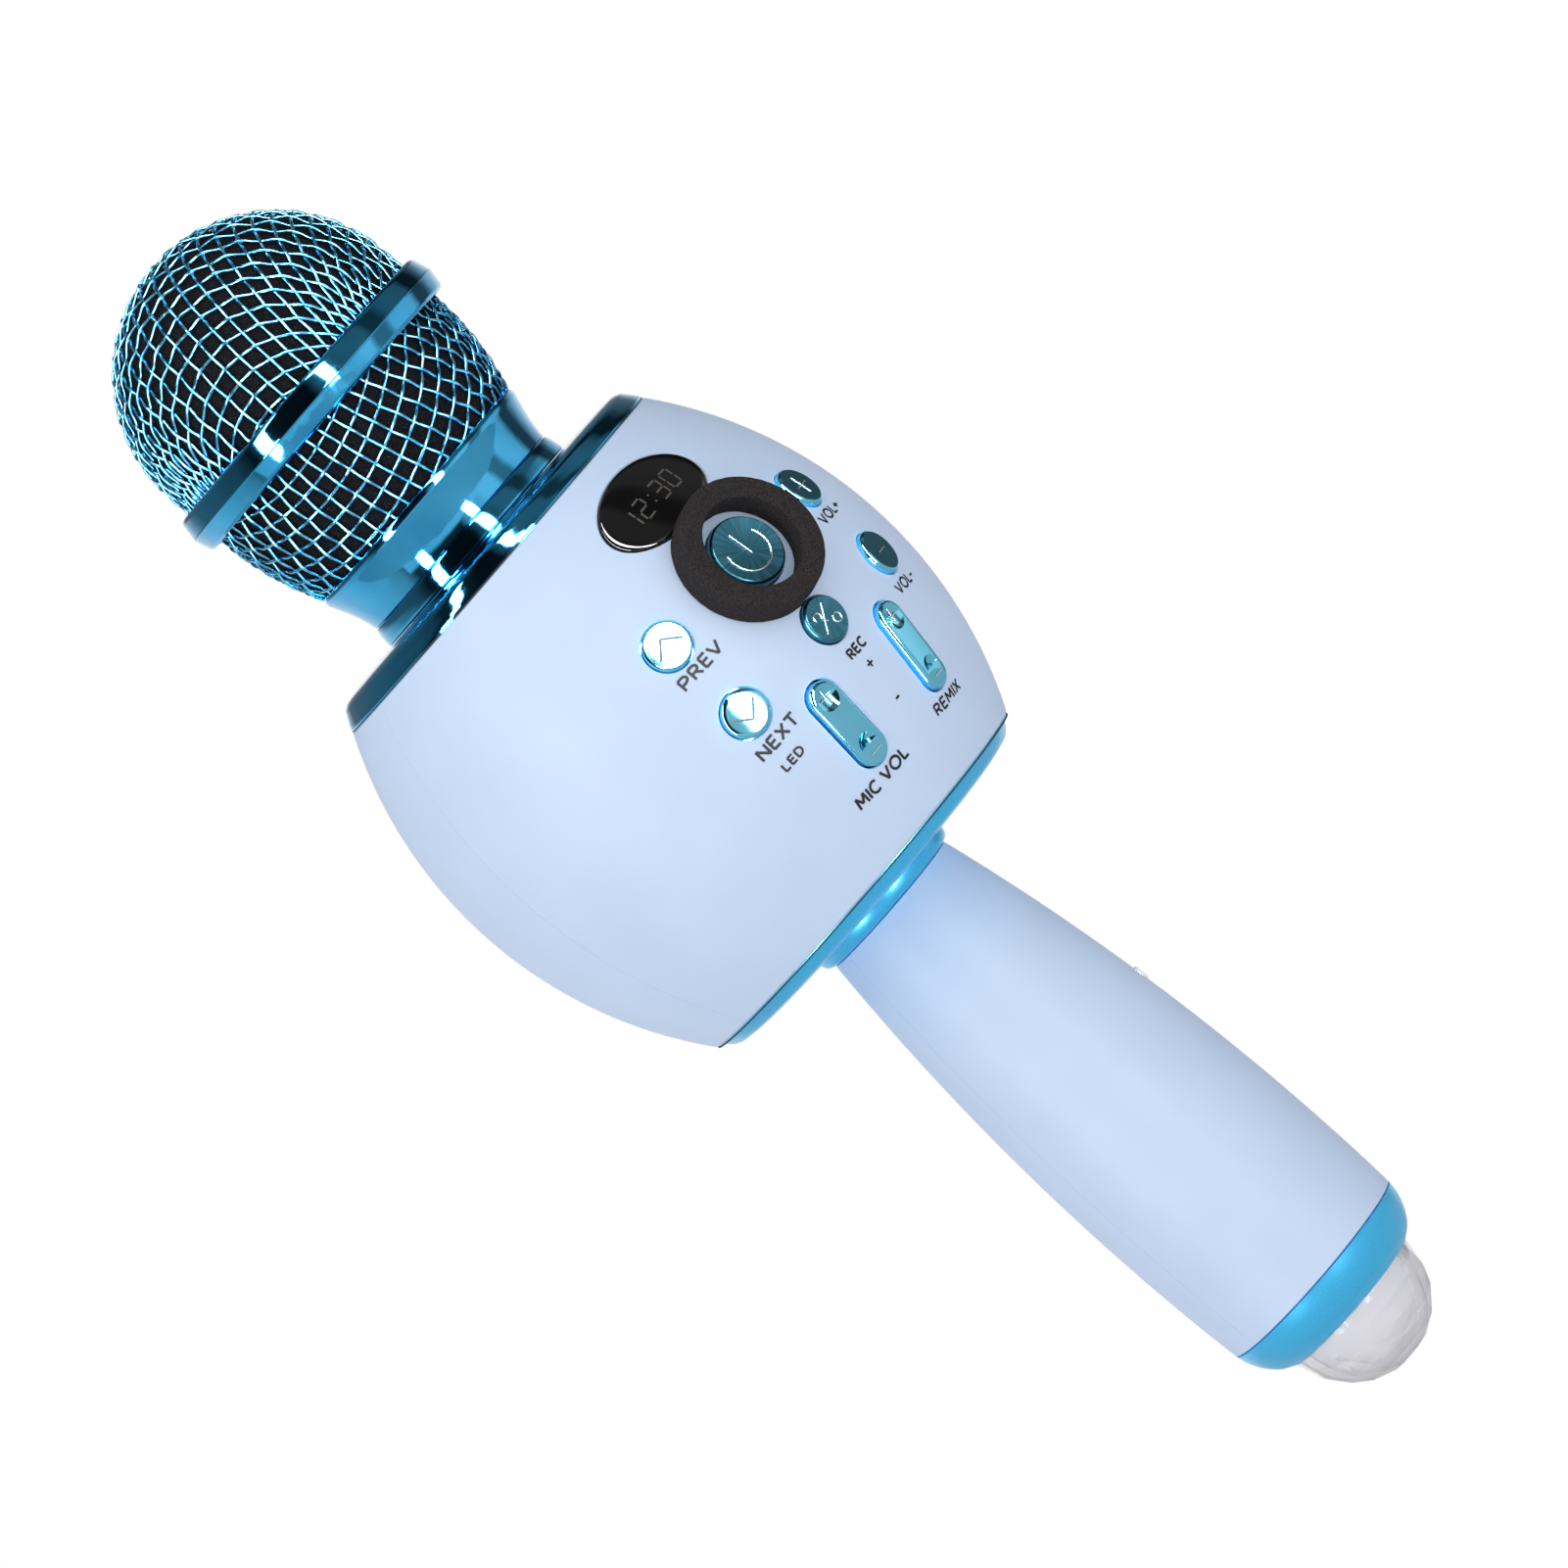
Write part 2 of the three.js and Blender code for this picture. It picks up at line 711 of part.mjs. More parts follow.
// Lays a piece made along Z along +Y, at a place across and up.
function alongY(shape, x, z) {
  const place = new THREE.Matrix4().makeRotationX(-Math.PI / 2).setPosition(x, 0, z);
  return moved(shape, place);
}

function switchCarrier() {
  const shell = barrel(-carrierDepth, carrierFoot, carrierTop).subtract(barrel(-carrierDepth - carrierWall));
  const half = bodyMaxRadius * Math.sin(THREE.MathUtils.degToRad(carrierAngle));
  const bounds = block([-half, -bodyMaxRadius, carrierFoot], [half, mainBoardFront, carrierTop]);
  const sector = shell.intersect(bounds);
  const posts = boardPosts(-bodyMaxRadius, mainBoardFront - gap);
  const behind = barrel(-carrierDepth - carrierWall / 2);
  return joined(sector, ...posts.map((post) => post.intersect(behind)));
}

function controls() {
  const group = new THREE.Group();
  for (const item of buttons) {
    const place = panelSeat(item.angle, item.row);
    group.add(piece(`${item.name}_button`, button(item), blueChrome, place));
    group.add(piece(`${item.name}_switch`, buttonSwitch(item), blackPlastic, place));
  }
  for (const item of rockers) {
    const place = panelSeat(item.angle, rockerRow);
    group.add(piece(`${item.name}_rocker`, rocker(), blueChrome, place));
    group.add(piece(`${item.name}_pin`, acrossRod(pinRadius, pinLength), brightSteel, place));
    group.add(piece(`${item.name}_switch`, rockerSwitch(), blackPlastic, place));
  }
  group.add(piece('display_window', displayWindow(), blackGloss));
  group.add(piece('display_module', displayModule(), blackPlastic, panelSeat(0, displayRow)));
  group.add(piece('foam_ring', foamRing(), charcoalFoam));
  group.add(piece('switch_carrier', switchCarrier(), blackPlastic));
  return group;
}

// ---------------------------------------------------------------- body shells

function bodyTube() {
  const low = bodyBottom + gap;
  const high = bodyTop - gap;
  const outer = stretch(low, high, bodySteps, bodyRadius);
  const inner = stretch(high, low, bodySteps, (z) => bodyRadius(z) - bodyWall);
  return turned([...outer, ...inner]);
}

// One half of a tube that is split down its sides: side -1 is the front, 1 the back.
function halfOf(tube, side) {
  const reach = 2 * bodyMaxRadius;
  const near = side > 0 ? gap / 2 : -reach;
  const far = side > 0 ? reach : -gap / 2;
  return tube.intersect(block([-reach, near, handleBottom - reach], [reach, far, domeCentre]));
}

// The boss inside a shell that a case screw drives into, on a rib from the wall.
function caseBoss(side) {
  const foot = plateBottom + plateWall + gap;
  const ribFoot = bodyBottom + plateWall + gap;
  const top = screwSeat + caseScrewLength + 1;
  const boss = moved(rod(bossRadius, foot, top, wireFacets), caseScrewPlace(side));
  const reach = side * bodyRadius(top);
  const near = side * caseScrewRadius;
  const rib = block([-1.2, Math.min(near, reach), ribFoot], [1.2, Math.max(near, reach), top]);
  const bore = moved(rod(screwRadius + gap, foot - 1, top - 0.5, wireFacets), caseScrewPlace(side));
  return { body: joined(boss, rib.intersect(barrel(-bodyWall / 2))), bore };
}

function bodyFrontShell() {
  const boss = caseBoss(-1);
  const ears = rockers.map((item) => moved(rockerEars(), panelSeat(item.angle, rockerRow)));
  const shell = joined(halfOf(bodyTube(), -1), boss.body, ...ears, ...carrierPosts());
  const buttonHoles = buttons.map((item) =>
    moved(rod(item.radius + gap, -6, 6, smallFacets), panelSeat(item.angle, item.row)));
  const rockerHole = raised(pillShape(rockerLength + 2 * rockerPlay, rockerWidth + 2 * rockerPlay), -4, 6);
  const rockerHoles = rockers.map((item) => moved(rockerHole, panelSeat(item.angle, rockerRow)));
  const pinHole = acrossRod(pinRadius + gap, pinLength + 2);
  const pinHoles = rockers.map((item) => moved(pinHole, panelSeat(item.angle, rockerRow)));
  const window = moved(displayPrism(gap), panelSeat(0, displayRow));
  return cutBy(shell, boss.bore, ...buttonHoles, ...rockerHoles, ...pinHoles, window);
}

// Posts that stand in from the front shell to the carrier, in the middle between four buttons.
function carrierPosts() {
  const post = rod(supportRadius, -carrierDepth + gap, -bodyWall / 2, wireFacets);
  const middleRow = (upperRow + lowerRow) / 2;
  return [-1, 1].map((side) => moved(post, panelSeat((side * buttonAngle) / 2, middleRow)));
}

// The speaker's axis crosses the body at its middle, and its seat faces +Y.
const seatFace = bodyMaxRadius - seatSink;

function bodyBackShell() {
  const boss = caseBoss(1);
  const clearing = alongY(rod(speakerSeat, seatFace, 2 * bodyMaxRadius, facets), 0, bodyMiddle);
  const seat = alongY(rod(speakerSeat, seatFace - seatWall, seatFace, facets), 0, bodyMiddle);
  const opening = alongY(rod(speakerRadius, 0, 2 * bodyMaxRadius, facets), 0, bodyMiddle);
  const shell = joined(halfOf(bodyTube(), 1).subtract(clearing), seat, boss.body);
  return cutBy(shell, opening, boss.bore);
}

function bodyShells() {
  const length = screwSeat + caseScrewLength - plateBottom - screwHeadHeight;
  const screws = [['case_screw_front', -1], ['case_screw_back', 1]].map(([name, side]) => {
    const place = caseScrewPlace(side).setPosition(0, side * caseScrewRadius, plateBottom + gap);
    return piece(name, screw(length), brightSteel, place);
  });
  return assembly(
    piece('body_front_shell', bodyFrontShell(), softBlue),
    piece('body_back_shell', bodyBackShell(), softBlue),
    ...screws,
  );
}

// ---------------------------------------------------------------- main board and speaker

function mainBoard() {
  const half = mainBoardWidth / 2;
  const foot = (carrierFoot + carrierTop - mainBoardHeight) / 2;
  const back = mainBoardFront + boardThickness;
  const board = block([-half, mainBoardFront, foot], [half, back, foot + mainBoardHeight]);
  const chip = (x, z, width, height, depth) => {
    const low = foot + z - height / 2;
    return block([x - width / 2, back - 0.1, low], [x + width / 2, back + depth, low + height]);
  };
  const amplifier = chip(8, 14, 10, 10, 1.6);
  const processor = chip(-8, 20, 12, 12, 1.4);
  const radio = chip(-4, 40, 18, 12, 2.2);
  const socket = chip(0, 3.5, 12, 5, 5);
  return joined(board, amplifier, processor, radio, socket);
}

const basketFace = seatFace - seatWall - gap;
const coneRadius = speakerRadius - 1;

// The speaker's pieces are turned about Z, with Z as the distance from the body's axis.
function speakerBasket() {
  const foot = basketFace - basketDepth;
  return turned([
    [0, foot],
    [magnetRadius - 1, foot],
    [speakerRadius + 1.4, basketFace - 1.6],
    [speakerRadius + 3.2, basketFace - 1.6],
    [speakerRadius + 3.2, basketFace],
    [speakerRadius + 0.1, basketFace],
    [speakerRadius + 0.1, basketFace - 1.6],
    [magnetRadius - 2.6, foot + 1.6],
    [0, foot + 1.6],
  ], 24);
}

function speakerMagnet() {
  const top = basketFace - basketDepth - gap;
  return rod(magnetRadius, top - magnetHeight, top, 24);
}

function speakerCone() {
  const rim = basketFace + 0.4 + coneTravel;
  const bottom = basketFace - basketDepth + 1.6 + 2 * coneTravel;
  const capRadius = coneRadius / 3;
  return turned([
    [0, bottom],
    [capRadius, bottom],
    [coneRadius, rim - 1],
    [coneRadius, rim],
    [capRadius + 1, bottom + 1.8],
    [capRadius * 0.7, bottom + 3],
    [0, bottom + 3.6],
  ], 24);
}

function speakerGrille() {
  const radius = speakerSeat - trimWidth - 2 * gap;
  const low = seatFace + gap;
  const disc = rod(radius, low, low + grilleThickness, facets);
  const pitch = radius / 3.3;
  const holes = [];
  for (let row = -2; row <= 2; row += 1) {
    for (let place = 0; place < 5 - Math.abs(row); place += 1) {
      const x = (place - (4 - Math.abs(row)) / 2) * pitch * 1.2;
      holes.push(rod(pitch * 0.4, low - 1, low + grilleThickness + 1, 6).translate([x, row * pitch * 1.04, 0]));
    }
  }
  return cutBy(disc, ...holes);
}

function speakerTrimRing() {
  const inner = speakerSeat - trimWidth;
  const low = seatFace + gap;
  const outer = speakerSeat - gap;
  const top = low + trimHeight;
  return turned([[inner, low], [outer, low], [outer, top - 0.5], [outer - 0.5, top], [inner, top]]);
}

function speaker() {
  const place = new THREE.Matrix4().makeRotationX(-Math.PI / 2).setPosition(0, 0, bodyMiddle);
  return assembly(
    piece('speaker_basket', speakerBasket(), blackPlastic, place),
    piece('speaker_magnet', speakerMagnet(), brightSteel, place),
    piece('speaker_cone', speakerCone(), conePaper, place),
    piece('speaker_grille', speakerGrille(), brightBlue, place),
    piece('speaker_trim_ring', speakerTrimRing(), blueChrome, place),
  );
}

// ---------------------------------------------------------------- handle

const neckFlangeFoot = plateBottom + plateWall + gap;
const spigotTop = neckFlangeFoot + 3;

function handleTube() {
  const low = handleBottom + gap;
  const bore = spigotRadius - spigotWall;
  const outer = stretch(low, handleTop, 7, handleRadius);
  const inner = stretch(handleTop - 4, low, 5, (z) => handleRadius(z) - handleWall);
  return turned([
    ...outer,
    [spigotRadius, handleTop],
    [spigotRadius, neckFlangeFoot],
    [spigotRadius + spigotLip, neckFlangeFoot],
    [spigotRadius + spigotLip, spigotTop],
    [bore, spigotTop],
    [bore, handleTop - 3],
    ...inner,
  ], slimFacets);
}

// The handle screw crosses the grip above the cell, from the back shell into a boss on the front one.
const batteryFoot = handleBottom + batteryRise;
const batteryTop = batteryFoot + batteryLength;
const handleScrewHeight = (batteryTop + handleTop) / 2 - 1;
const handleScrewSeat = handleRadius(handleScrewHeight) - 2.6;

function handleBoss(side) {
  const reach = handleRadius(handleScrewHeight) - handleWall / 2;
  const ends = side > 0 ? [gap / 2, reach] : [-reach, -gap / 2];
  return alongY(rod(bossRadius, ...ends, wireFacets), 0, handleScrewHeight);
}

function handleScrewHole() {
  const shaft = rod(screwRadius + gap, -handleScrewSeat + 3, handleScrewSeat + 1, wireFacets);
  const well = rod(screwHeadRadius + gap, handleScrewSeat - gap, 2 * handleMaxRadius, wireFacets);
  return alongY(joined(shaft, well), 0, handleScrewHeight);
}

// Places on the handle's outside, seen straight on: X across, Y up and Z out.
function handleSeat(angle, height) {
  const turn = THREE.MathUtils.degToRad(angle);
  const out = new THREE.Vector3(Math.sin(turn), -Math.cos(turn), 0);
  const across = new THREE.Vector3(Math.cos(turn), Math.sin(turn), 0);
  const place = new THREE.Matrix4().makeBasis(across, new THREE.Vector3(0, 0, 1), out);
  return place.setPosition(out.multiplyScalar(handleRadius(height)).setZ(height));
}

const indicatorSeat = handleSeat(indicatorAngle, indicatorHeight);

function chargeIndicator() {
  const flangeTop = -handleWall - 2 * gap;
  const lens = raised(pillShape(indicatorLength, indicatorWidth), flangeTop - 0.5, indicatorProud, 4);
  const low = [-indicatorWidth, -indicatorLength, flangeTop - 1];
  const flange = block(low, [indicatorWidth, indicatorLength, flangeTop]);
  return joined(lens, flange);
}

function handleFrontShell() {
  const hole = raised(pillShape(indicatorLength + 2 * gap, indicatorWidth + 2 * gap), -handleWall - 2, 2, 4);
  const shell = joined(halfOf(handleTube(), -1), handleBoss(-1));
  return cutBy(shell, moved(hole, indicatorSeat), handleScrewHole());
}

// Ports in a column on the back of the handle, lowest first.
const usbHeight = batteryFoot + 6;
const jackHeight = usbHeight + portPitch;
const cardHeight = jackHeight + portPitch;
const chargeBoardBack = batteryRadius + gap + cradleThickness + gap + boardThickness;

function handleBackShell() {
  const slot = ([width, height], z) => {
    const x = width / 2 + gap;
    const rise = height / 2 + gap;
    return block([-x, chargeBoardBack, z - rise], [x, 2 * handleMaxRadius, z + rise]);
  };
  const jackHole = alongY(rod(jackRadius + gap, chargeBoardBack, 2 * handleMaxRadius), 0, jackHeight);
  const shell = joined(halfOf(handleTube(), 1), handleBoss(1));
  return cutBy(shell, slot(usbSize, usbHeight), slot(cardSize, cardHeight), jackHole, handleScrewHole());
}

function portFace(height) {
  return handleRadius(height) - 0.8;
}

function socketBlock([width, height], z, wall) {
  const front = portFace(z);
  const low = chargeBoardBack + gap;
  const x = width / 2;
  const rise = height / 2;
  const shell = block([-x, low, z - rise], [x, front, z + rise]);
  const mouth = block([-x + wall, low + 1, z - rise + wall], [x - wall, front + 1, z + rise - wall]);
  return cutBy(shell, mouth);
}

function auxJack() {
  const low = chargeBoardBack + gap;
  const barrelShape = rod(jackRadius, low, portFace(jackHeight));
  return alongY(cutBy(barrelShape, rod(jackBore, low + 1, 2 * handleMaxRadius, wireFacets)), 0, jackHeight);
}

function chargeBoard() {
  const half = chargeBoardWidth / 2;
  const foot = usbHeight - 6;
  const front = chargeBoardBack - boardThickness;
  return block([-half, front, foot], [half, chargeBoardBack, foot + chargeBoardLength]);
}

function batteryCell() {
  const edge = 0.5;
  return turned([
    [0, batteryFoot],
    [batteryRadius, batteryFoot],
    [batteryRadius, batteryTop - 1 - edge],
    [batteryRadius - edge, batteryTop - 1],
    [2.8, batteryTop - 1],
    [2.8, batteryTop],
    [0, batteryTop],
  ], 24);
}

// A trough round the back of the cell with a floor under it.
function batteryCradle() {
  const inner = batteryRadius + gap;
  const outer = inner + cradleThickness;
  const floor = batteryFoot - gap;
  const foot = floor - cradleThickness;
  const side = [[outer, foot], [outer, batteryTop], [inner, batteryTop], [inner, floor]];
  const cup = turned([[0, foot], ...side, [0, floor]], 24);
  return cup.intersect(block([-outer, -inner / 3, foot], [outer, outer, batteryTop]));
}

function handle() {
  const screwPlace = new THREE.Matrix4().makeRotationX(Math.PI / 2);
  screwPlace.setPosition(0, handleScrewSeat + screwHeadHeight, handleScrewHeight);
  return assembly(
    piece('handle_front_shell', handleFrontShell(), softBlue),
    piece('handle_back_shell', handleBackShell(), softBlue),
    piece('handle_screw', screw(2 * handleScrewSeat - 3), brightSteel, screwPlace),
    piece('charge_indicator', chargeIndicator(), crystalClear, indicatorSeat),
    piece('battery_cell', batteryCell(), batterySleeve),
    piece('battery_cradle', batteryCradle(), blackPlastic),
    piece('charge_board', chargeBoard(), boardGreen),
    piece('usb_port', socketBlock(usbSize, usbHeight, 0.5), brightSteel),
    piece('card_slot', socketBlock(cardSize, cardHeight, 0.4), brightSteel),
    piece('aux_jack', auxJack(), blackPlastic),
  );
}

// ---------------------------------------------------------------- end cap and light

const capMouth = crystalRadius + gap;
const flangeSeat = crystalCentre + 1.6;
const lightBoardFoot = flangeSeat + gap + 1.2 + gap;

function endCap() {
  const top = handleBottom;
  const rim = handleRadius(handleBottom);
  const spigot = rim - handleWall - gap;
  const bore = crystalRadius + crystalFlange + gap;
  const bend = [rim - 0.4, top - endCapHeight * 0.69];
  const corner = softCorner([rim, top], bend, [capMouth, crystalCentre], 5);
  return turned([
    ...corner.reverse(),
    [spigot, top],
    [spigot, top + capSpigot],
    [bore, top + capSpigot],
    [bore, flangeSeat],
    [capMouth, flangeSeat],
  ], slimFacets);
}

function crystalDome() {
  const flange = crystalRadius + crystalFlange;
  const foot = flangeSeat + gap;
  const outer = arc(0, crystalCentre, crystalRadius, -90, 0, 5);
  const inner = arc(0, crystalCentre, crystalRadius - crystalWall, 0, -90, 4);
  return turned([
    ...outer,
    [crystalRadius, foot],
    [flange, foot],
    [flange, foot + 1.2],
    [crystalRadius - crystalWall, foot + 1.2],
    ...inner,
  ], 20);
}

function ledBoard() {
  const foot = lightBoardFoot;
  const disc = rod(crystalRadius + crystalFlange, foot, foot + boardThickness, 24);
  const bulb = turned([[0, foot - 4], [1.8, foot - 3.4], [2.5, foot - 2], [2.5, foot + 0.1], [0, foot + 0.1]], 10);
  const bulbs = [0, 1, 2].map((i) => {
    const turn = (i * 2 * Math.PI) / 3;
    return bulb.translate([6 * Math.cos(turn), 6 * Math.sin(turn), 0]);
  });
  return joined(disc, ...bulbs);
}

function light() {
  return assembly(
    piece('end_cap', endCap(), brightBlue),
    piece('crystal_dome', crystalDome(), crystalClear),
    piece('led_board', ledBoard(), boardGreen),
  );
}

// ---------------------------------------------------------------- leads

function capsuleLead() {
  return lead([
    [0, 0, pocketFloor - gap],
    [0, 0, postTop - 6],
    [0, 0, bodyTop],
    [0, mainBoardFront / 2 + 4, bodyTop - 6],
    [0, mainBoardFront + boardThickness + 5, carrierTop + 4],
    [4, mainBoardFront + boardThickness + 4, carrierTop - 6],
  ]);
}

function batteryLead() {
  const side = (spigotRadius - spigotWall) * 0.68;
  return lead([
    [side, 0, batteryTop + gap],
    [side, 0, handleScrewHeight],
    [side, 0, spigotTop + 2],
    [side, mainBoardFront / 2, spigotTop + 5],
    [side - 3, mainBoardFront + boardThickness + 7, carrierFoot + 2],
  ]);
}

function speakerLead() {
  const x = magnetRadius + 4.5;
  const end = mainBoardFront + boardThickness + 1.5;
  return lead([
    [x, basketFace - 8, bodyMiddle - 6],
    [x + 2, basketFace - 18, bodyMiddle - 8],
    [x, 0, bodyMiddle - 12],
    [x - 2, end, bodyMiddle - 14],
  ]);
}

function leads() {
  return assembly(
    piece('capsule_lead', capsuleLead(), darkRubber),
    piece('battery_lead', batteryLead(), leadRed),
    piece('speaker_lead', speakerLead(), leadRed),
  );
}

export default assembly(
  grilleHead(),
  neckAndPlates(),
  controls(),
  bodyShells(),
  assembly(piece('main_board', mainBoard(), boardGreen)),
  speaker(),
  handle(),
  light(),
  leads(),
);
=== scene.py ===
"""A hand-held karaoke microphone: woven grille head, chromed neck, barrel body with its panel, and handle."""

import logging
import math
from dataclasses import dataclass, field
from enum import Enum
from typing import Iterable, Sequence

import bmesh
import bpy
import numpy as np
from mathutils import Matrix, Vector, noise


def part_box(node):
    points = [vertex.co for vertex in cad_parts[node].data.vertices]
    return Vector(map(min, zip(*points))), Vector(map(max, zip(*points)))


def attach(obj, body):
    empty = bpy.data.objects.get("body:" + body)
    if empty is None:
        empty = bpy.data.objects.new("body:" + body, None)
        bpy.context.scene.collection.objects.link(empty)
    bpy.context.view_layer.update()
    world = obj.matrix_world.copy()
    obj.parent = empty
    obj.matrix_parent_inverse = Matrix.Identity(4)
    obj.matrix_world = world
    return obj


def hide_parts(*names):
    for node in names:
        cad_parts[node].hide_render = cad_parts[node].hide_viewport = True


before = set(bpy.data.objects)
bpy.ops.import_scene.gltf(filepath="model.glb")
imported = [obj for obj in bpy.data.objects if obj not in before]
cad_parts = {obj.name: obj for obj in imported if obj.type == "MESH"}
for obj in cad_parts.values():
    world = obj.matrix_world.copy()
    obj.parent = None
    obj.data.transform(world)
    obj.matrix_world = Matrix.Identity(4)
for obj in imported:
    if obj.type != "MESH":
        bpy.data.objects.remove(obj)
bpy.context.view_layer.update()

log = logging.getLogger("microphone")

MM = 0.001  # metres in a millimetre; shapes are worked in millimetres
GAP = 0.3  # between pieces that touch in the frame
FULL_TURN = math.tau
POST = (13.2, 15.7)  # bore and radius of the post that the head screws onto
CASE_SCREW_REACH = 26.0  # from the axis to a screw under the body
SPEAKER_SEAT = 23.5  # radius of the speaker's raised seat in the barrel's back
SPEAKER_OPENING = 17.2  # radius of the hole through that seat
SPEAKER_SINK = 4.0  # of the seat's face below the barrel's widest radius

Point = tuple[float, float]
Colour = tuple[float, float, float]
Shape = bmesh.types.BMesh
Socket = bpy.types.NodeSocket


# ---------------------------------------------------------------- places taken from the frame


def low(node: str) -> Vector:
    """Lowest corner of a frame node in millimetres."""
    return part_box(node)[0] / MM


def high(node: str) -> Vector:
    """Highest corner of a frame node in millimetres."""
    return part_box(node)[1] / MM


def extent(node: str) -> tuple[Vector, Vector]:
    """Size and middle of a frame node in millimetres."""
    return high(node) - low(node), (high(node) + low(node)) / 2


def basis(x: Vector, y: Vector, z: Vector, origin: Vector) -> Matrix:
    """A place with axes of its own."""
    return Matrix.Translation(origin) @ Matrix((x, y, z)).transposed().to_4x4()


@dataclass(frozen=True)
class Levels:
    """Heights along the axis, in millimetres, read from the frame."""

    crystal_foot: float
    cap_foot: float
    handle_foot: float
    handle_top: float
    plate_foot: float
    body_foot: float
    body_top: float
    neck_foot: float
    flare_foot: float
    flare_top: float
    band_foot: float
    band_top: float
    dome_top: float

    @classmethod
    def from_frame(cls) -> "Levels":
        """Reads the levels from the nodes' boxes.

        Returns:
            The levels of this microphone.
        """
        return cls(
            crystal_foot=low("crystal_dome").z,
            cap_foot=low("end_cap").z,
            handle_foot=low("handle_front_shell").z - GAP,
            handle_top=low("handle_collar").z - GAP,
            plate_foot=low("bottom_plate").z,
            body_foot=low("body_front_shell").z - GAP,
            body_top=high("body_front_shell").z + GAP,
            neck_foot=high("top_plate").z,
            flare_foot=low("neck_flare").z - GAP,
            flare_top=low("grille_skirt").z - GAP,
            band_foot=low("grille_band").z,
            band_top=high("grille_band").z,
            dome_top=high("grille_dome").z,
        )


LEVELS = Levels.from_frame()


@dataclass(frozen=True)
class Bulge:
    """An outer surface turned from one arc about the axis.

    Attributes:
        widest: Height of the widest place.
        radius: Radius there.
        far: Height of the end that is farther from the widest place.
        far_radius: Radius at that end.
    """

    widest: float
    radius: float
    far: float
    far_radius: float

    @property
    def arc(self) -> float:
        """Radius of the profile's arc."""
        chord, sag = self.far - self.widest, self.radius - self.far_radius
        return (chord**2 + sag**2) / (2 * sag)

    def at(self, height: float) -> float:
        """Radius of the surface at a height."""
        return self.radius - self.arc + math.sqrt(self.arc**2 - (height - self.widest) ** 2)

    def normal(self, point: Vector) -> Vector:
        """Outward direction of the surface under a point."""
        rise = (point.z - self.widest) / self.arc
        out = Vector((point.x, point.y, 0)).normalized() * math.sqrt(1 - rise**2)
        return Vector((out.x, out.y, rise))

    def profile(self, bottom: float, top: float, steps: int, offset: float = 0.0) -> list[Point]:
        """Points of the profile from one height to another."""
        heights = [bottom + (top - bottom) * i / steps for i in range(steps + 1)]
        return [(self.at(z) + offset, z) for z in heights]


BODY_MIDDLE = (LEVELS.body_foot + LEVELS.body_top) / 2
HALF_BODY = (LEVELS.body_top - LEVELS.body_foot) / 2
BARREL = Bulge(BODY_MIDDLE, high("body_front_shell").x, LEVELS.body_top, 35.1)
GRIP = Bulge(LEVELS.handle_foot + 19.6, 19.0, LEVELS.handle_top, 13.1)


@dataclass(frozen=True)
class Seat:
    """A place on the barrel: X runs to the right, Y up the surface and Z straight out.

    Attributes:
        angle: Degrees from the panel's middle.
        share: Height as a share of the barrel's half height, up from its middle.
        surface: The surface that it lies on.
    """

    angle: float
    share: float
    surface: Bulge = BARREL

    @property
    def height(self) -> float:
        """Height along the axis."""
        return self.surface.widest + self.share * HALF_BODY

    def matrix(self) -> Matrix:
        """The seat's own axes and origin."""
        turn = math.radians(self.angle)
        tilt = math.asin((self.height - self.surface.widest) / self.surface.arc)
        out = Vector((math.sin(turn), -math.cos(turn), 0))
        across = Vector((math.cos(turn), math.sin(turn), 0))
        normal = out * math.cos(tilt) + Vector((0, 0, math.sin(tilt)))
        up = normal.cross(across)
        origin = out * self.surface.at(self.height) + Vector((0, 0, self.height))
        return basis(across, up, normal, origin)

    def fall(self, x: float, y: float) -> float:
        """How far the surface lies above the seat's plane (negative below it) at a place on it."""
        place, rise = self.matrix(), 0.0
        for _ in range(4):
            point = place @ Vector((x, y, rise))
            rise -= math.hypot(point.x, point.y) - self.surface.at(point.z)
        return rise


# ---------------------------------------------------------------- shapes


def filleted(corners: Sequence[tuple[float, ...]], segments: int = 4) -> list[Point]:
    """Rounds the corners of a profile.

    Args:
        corners: Points (radius, height) or (radius, height, fillet).
        segments: Straight stretches round each fillet.

    Returns:
        The profile's points.
    """
    made: list[Point] = []
    count = len(corners)
    for i, corner in enumerate(corners):
        here = Vector(corner[:2])
        fillet = corner[2] if len(corner) > 2 else 0.0
        if fillet == 0.0 or i in (0, count - 1):
            made.append((here.x, here.y))
            continue
        before = (Vector(corners[i - 1][:2]) - here).normalized() * fillet
        after = (Vector(corners[i + 1][:2]) - here).normalized() * fillet
        for step in range(segments + 1):
            t = step / segments
            point = here + before * (1 - t) ** 2 + after * t**2
            made.append((point.x, point.y))
    return made


def outward(bm: Shape) -> Shape:
    """Turns a closed shape's faces to look outward, and returns it."""
    bmesh.ops.recalc_face_normals(bm, faces=bm.faces)
    if bm.calc_volume(signed=True) < 0:
        bmesh.ops.reverse_faces(bm, faces=bm.faces)
    return bm


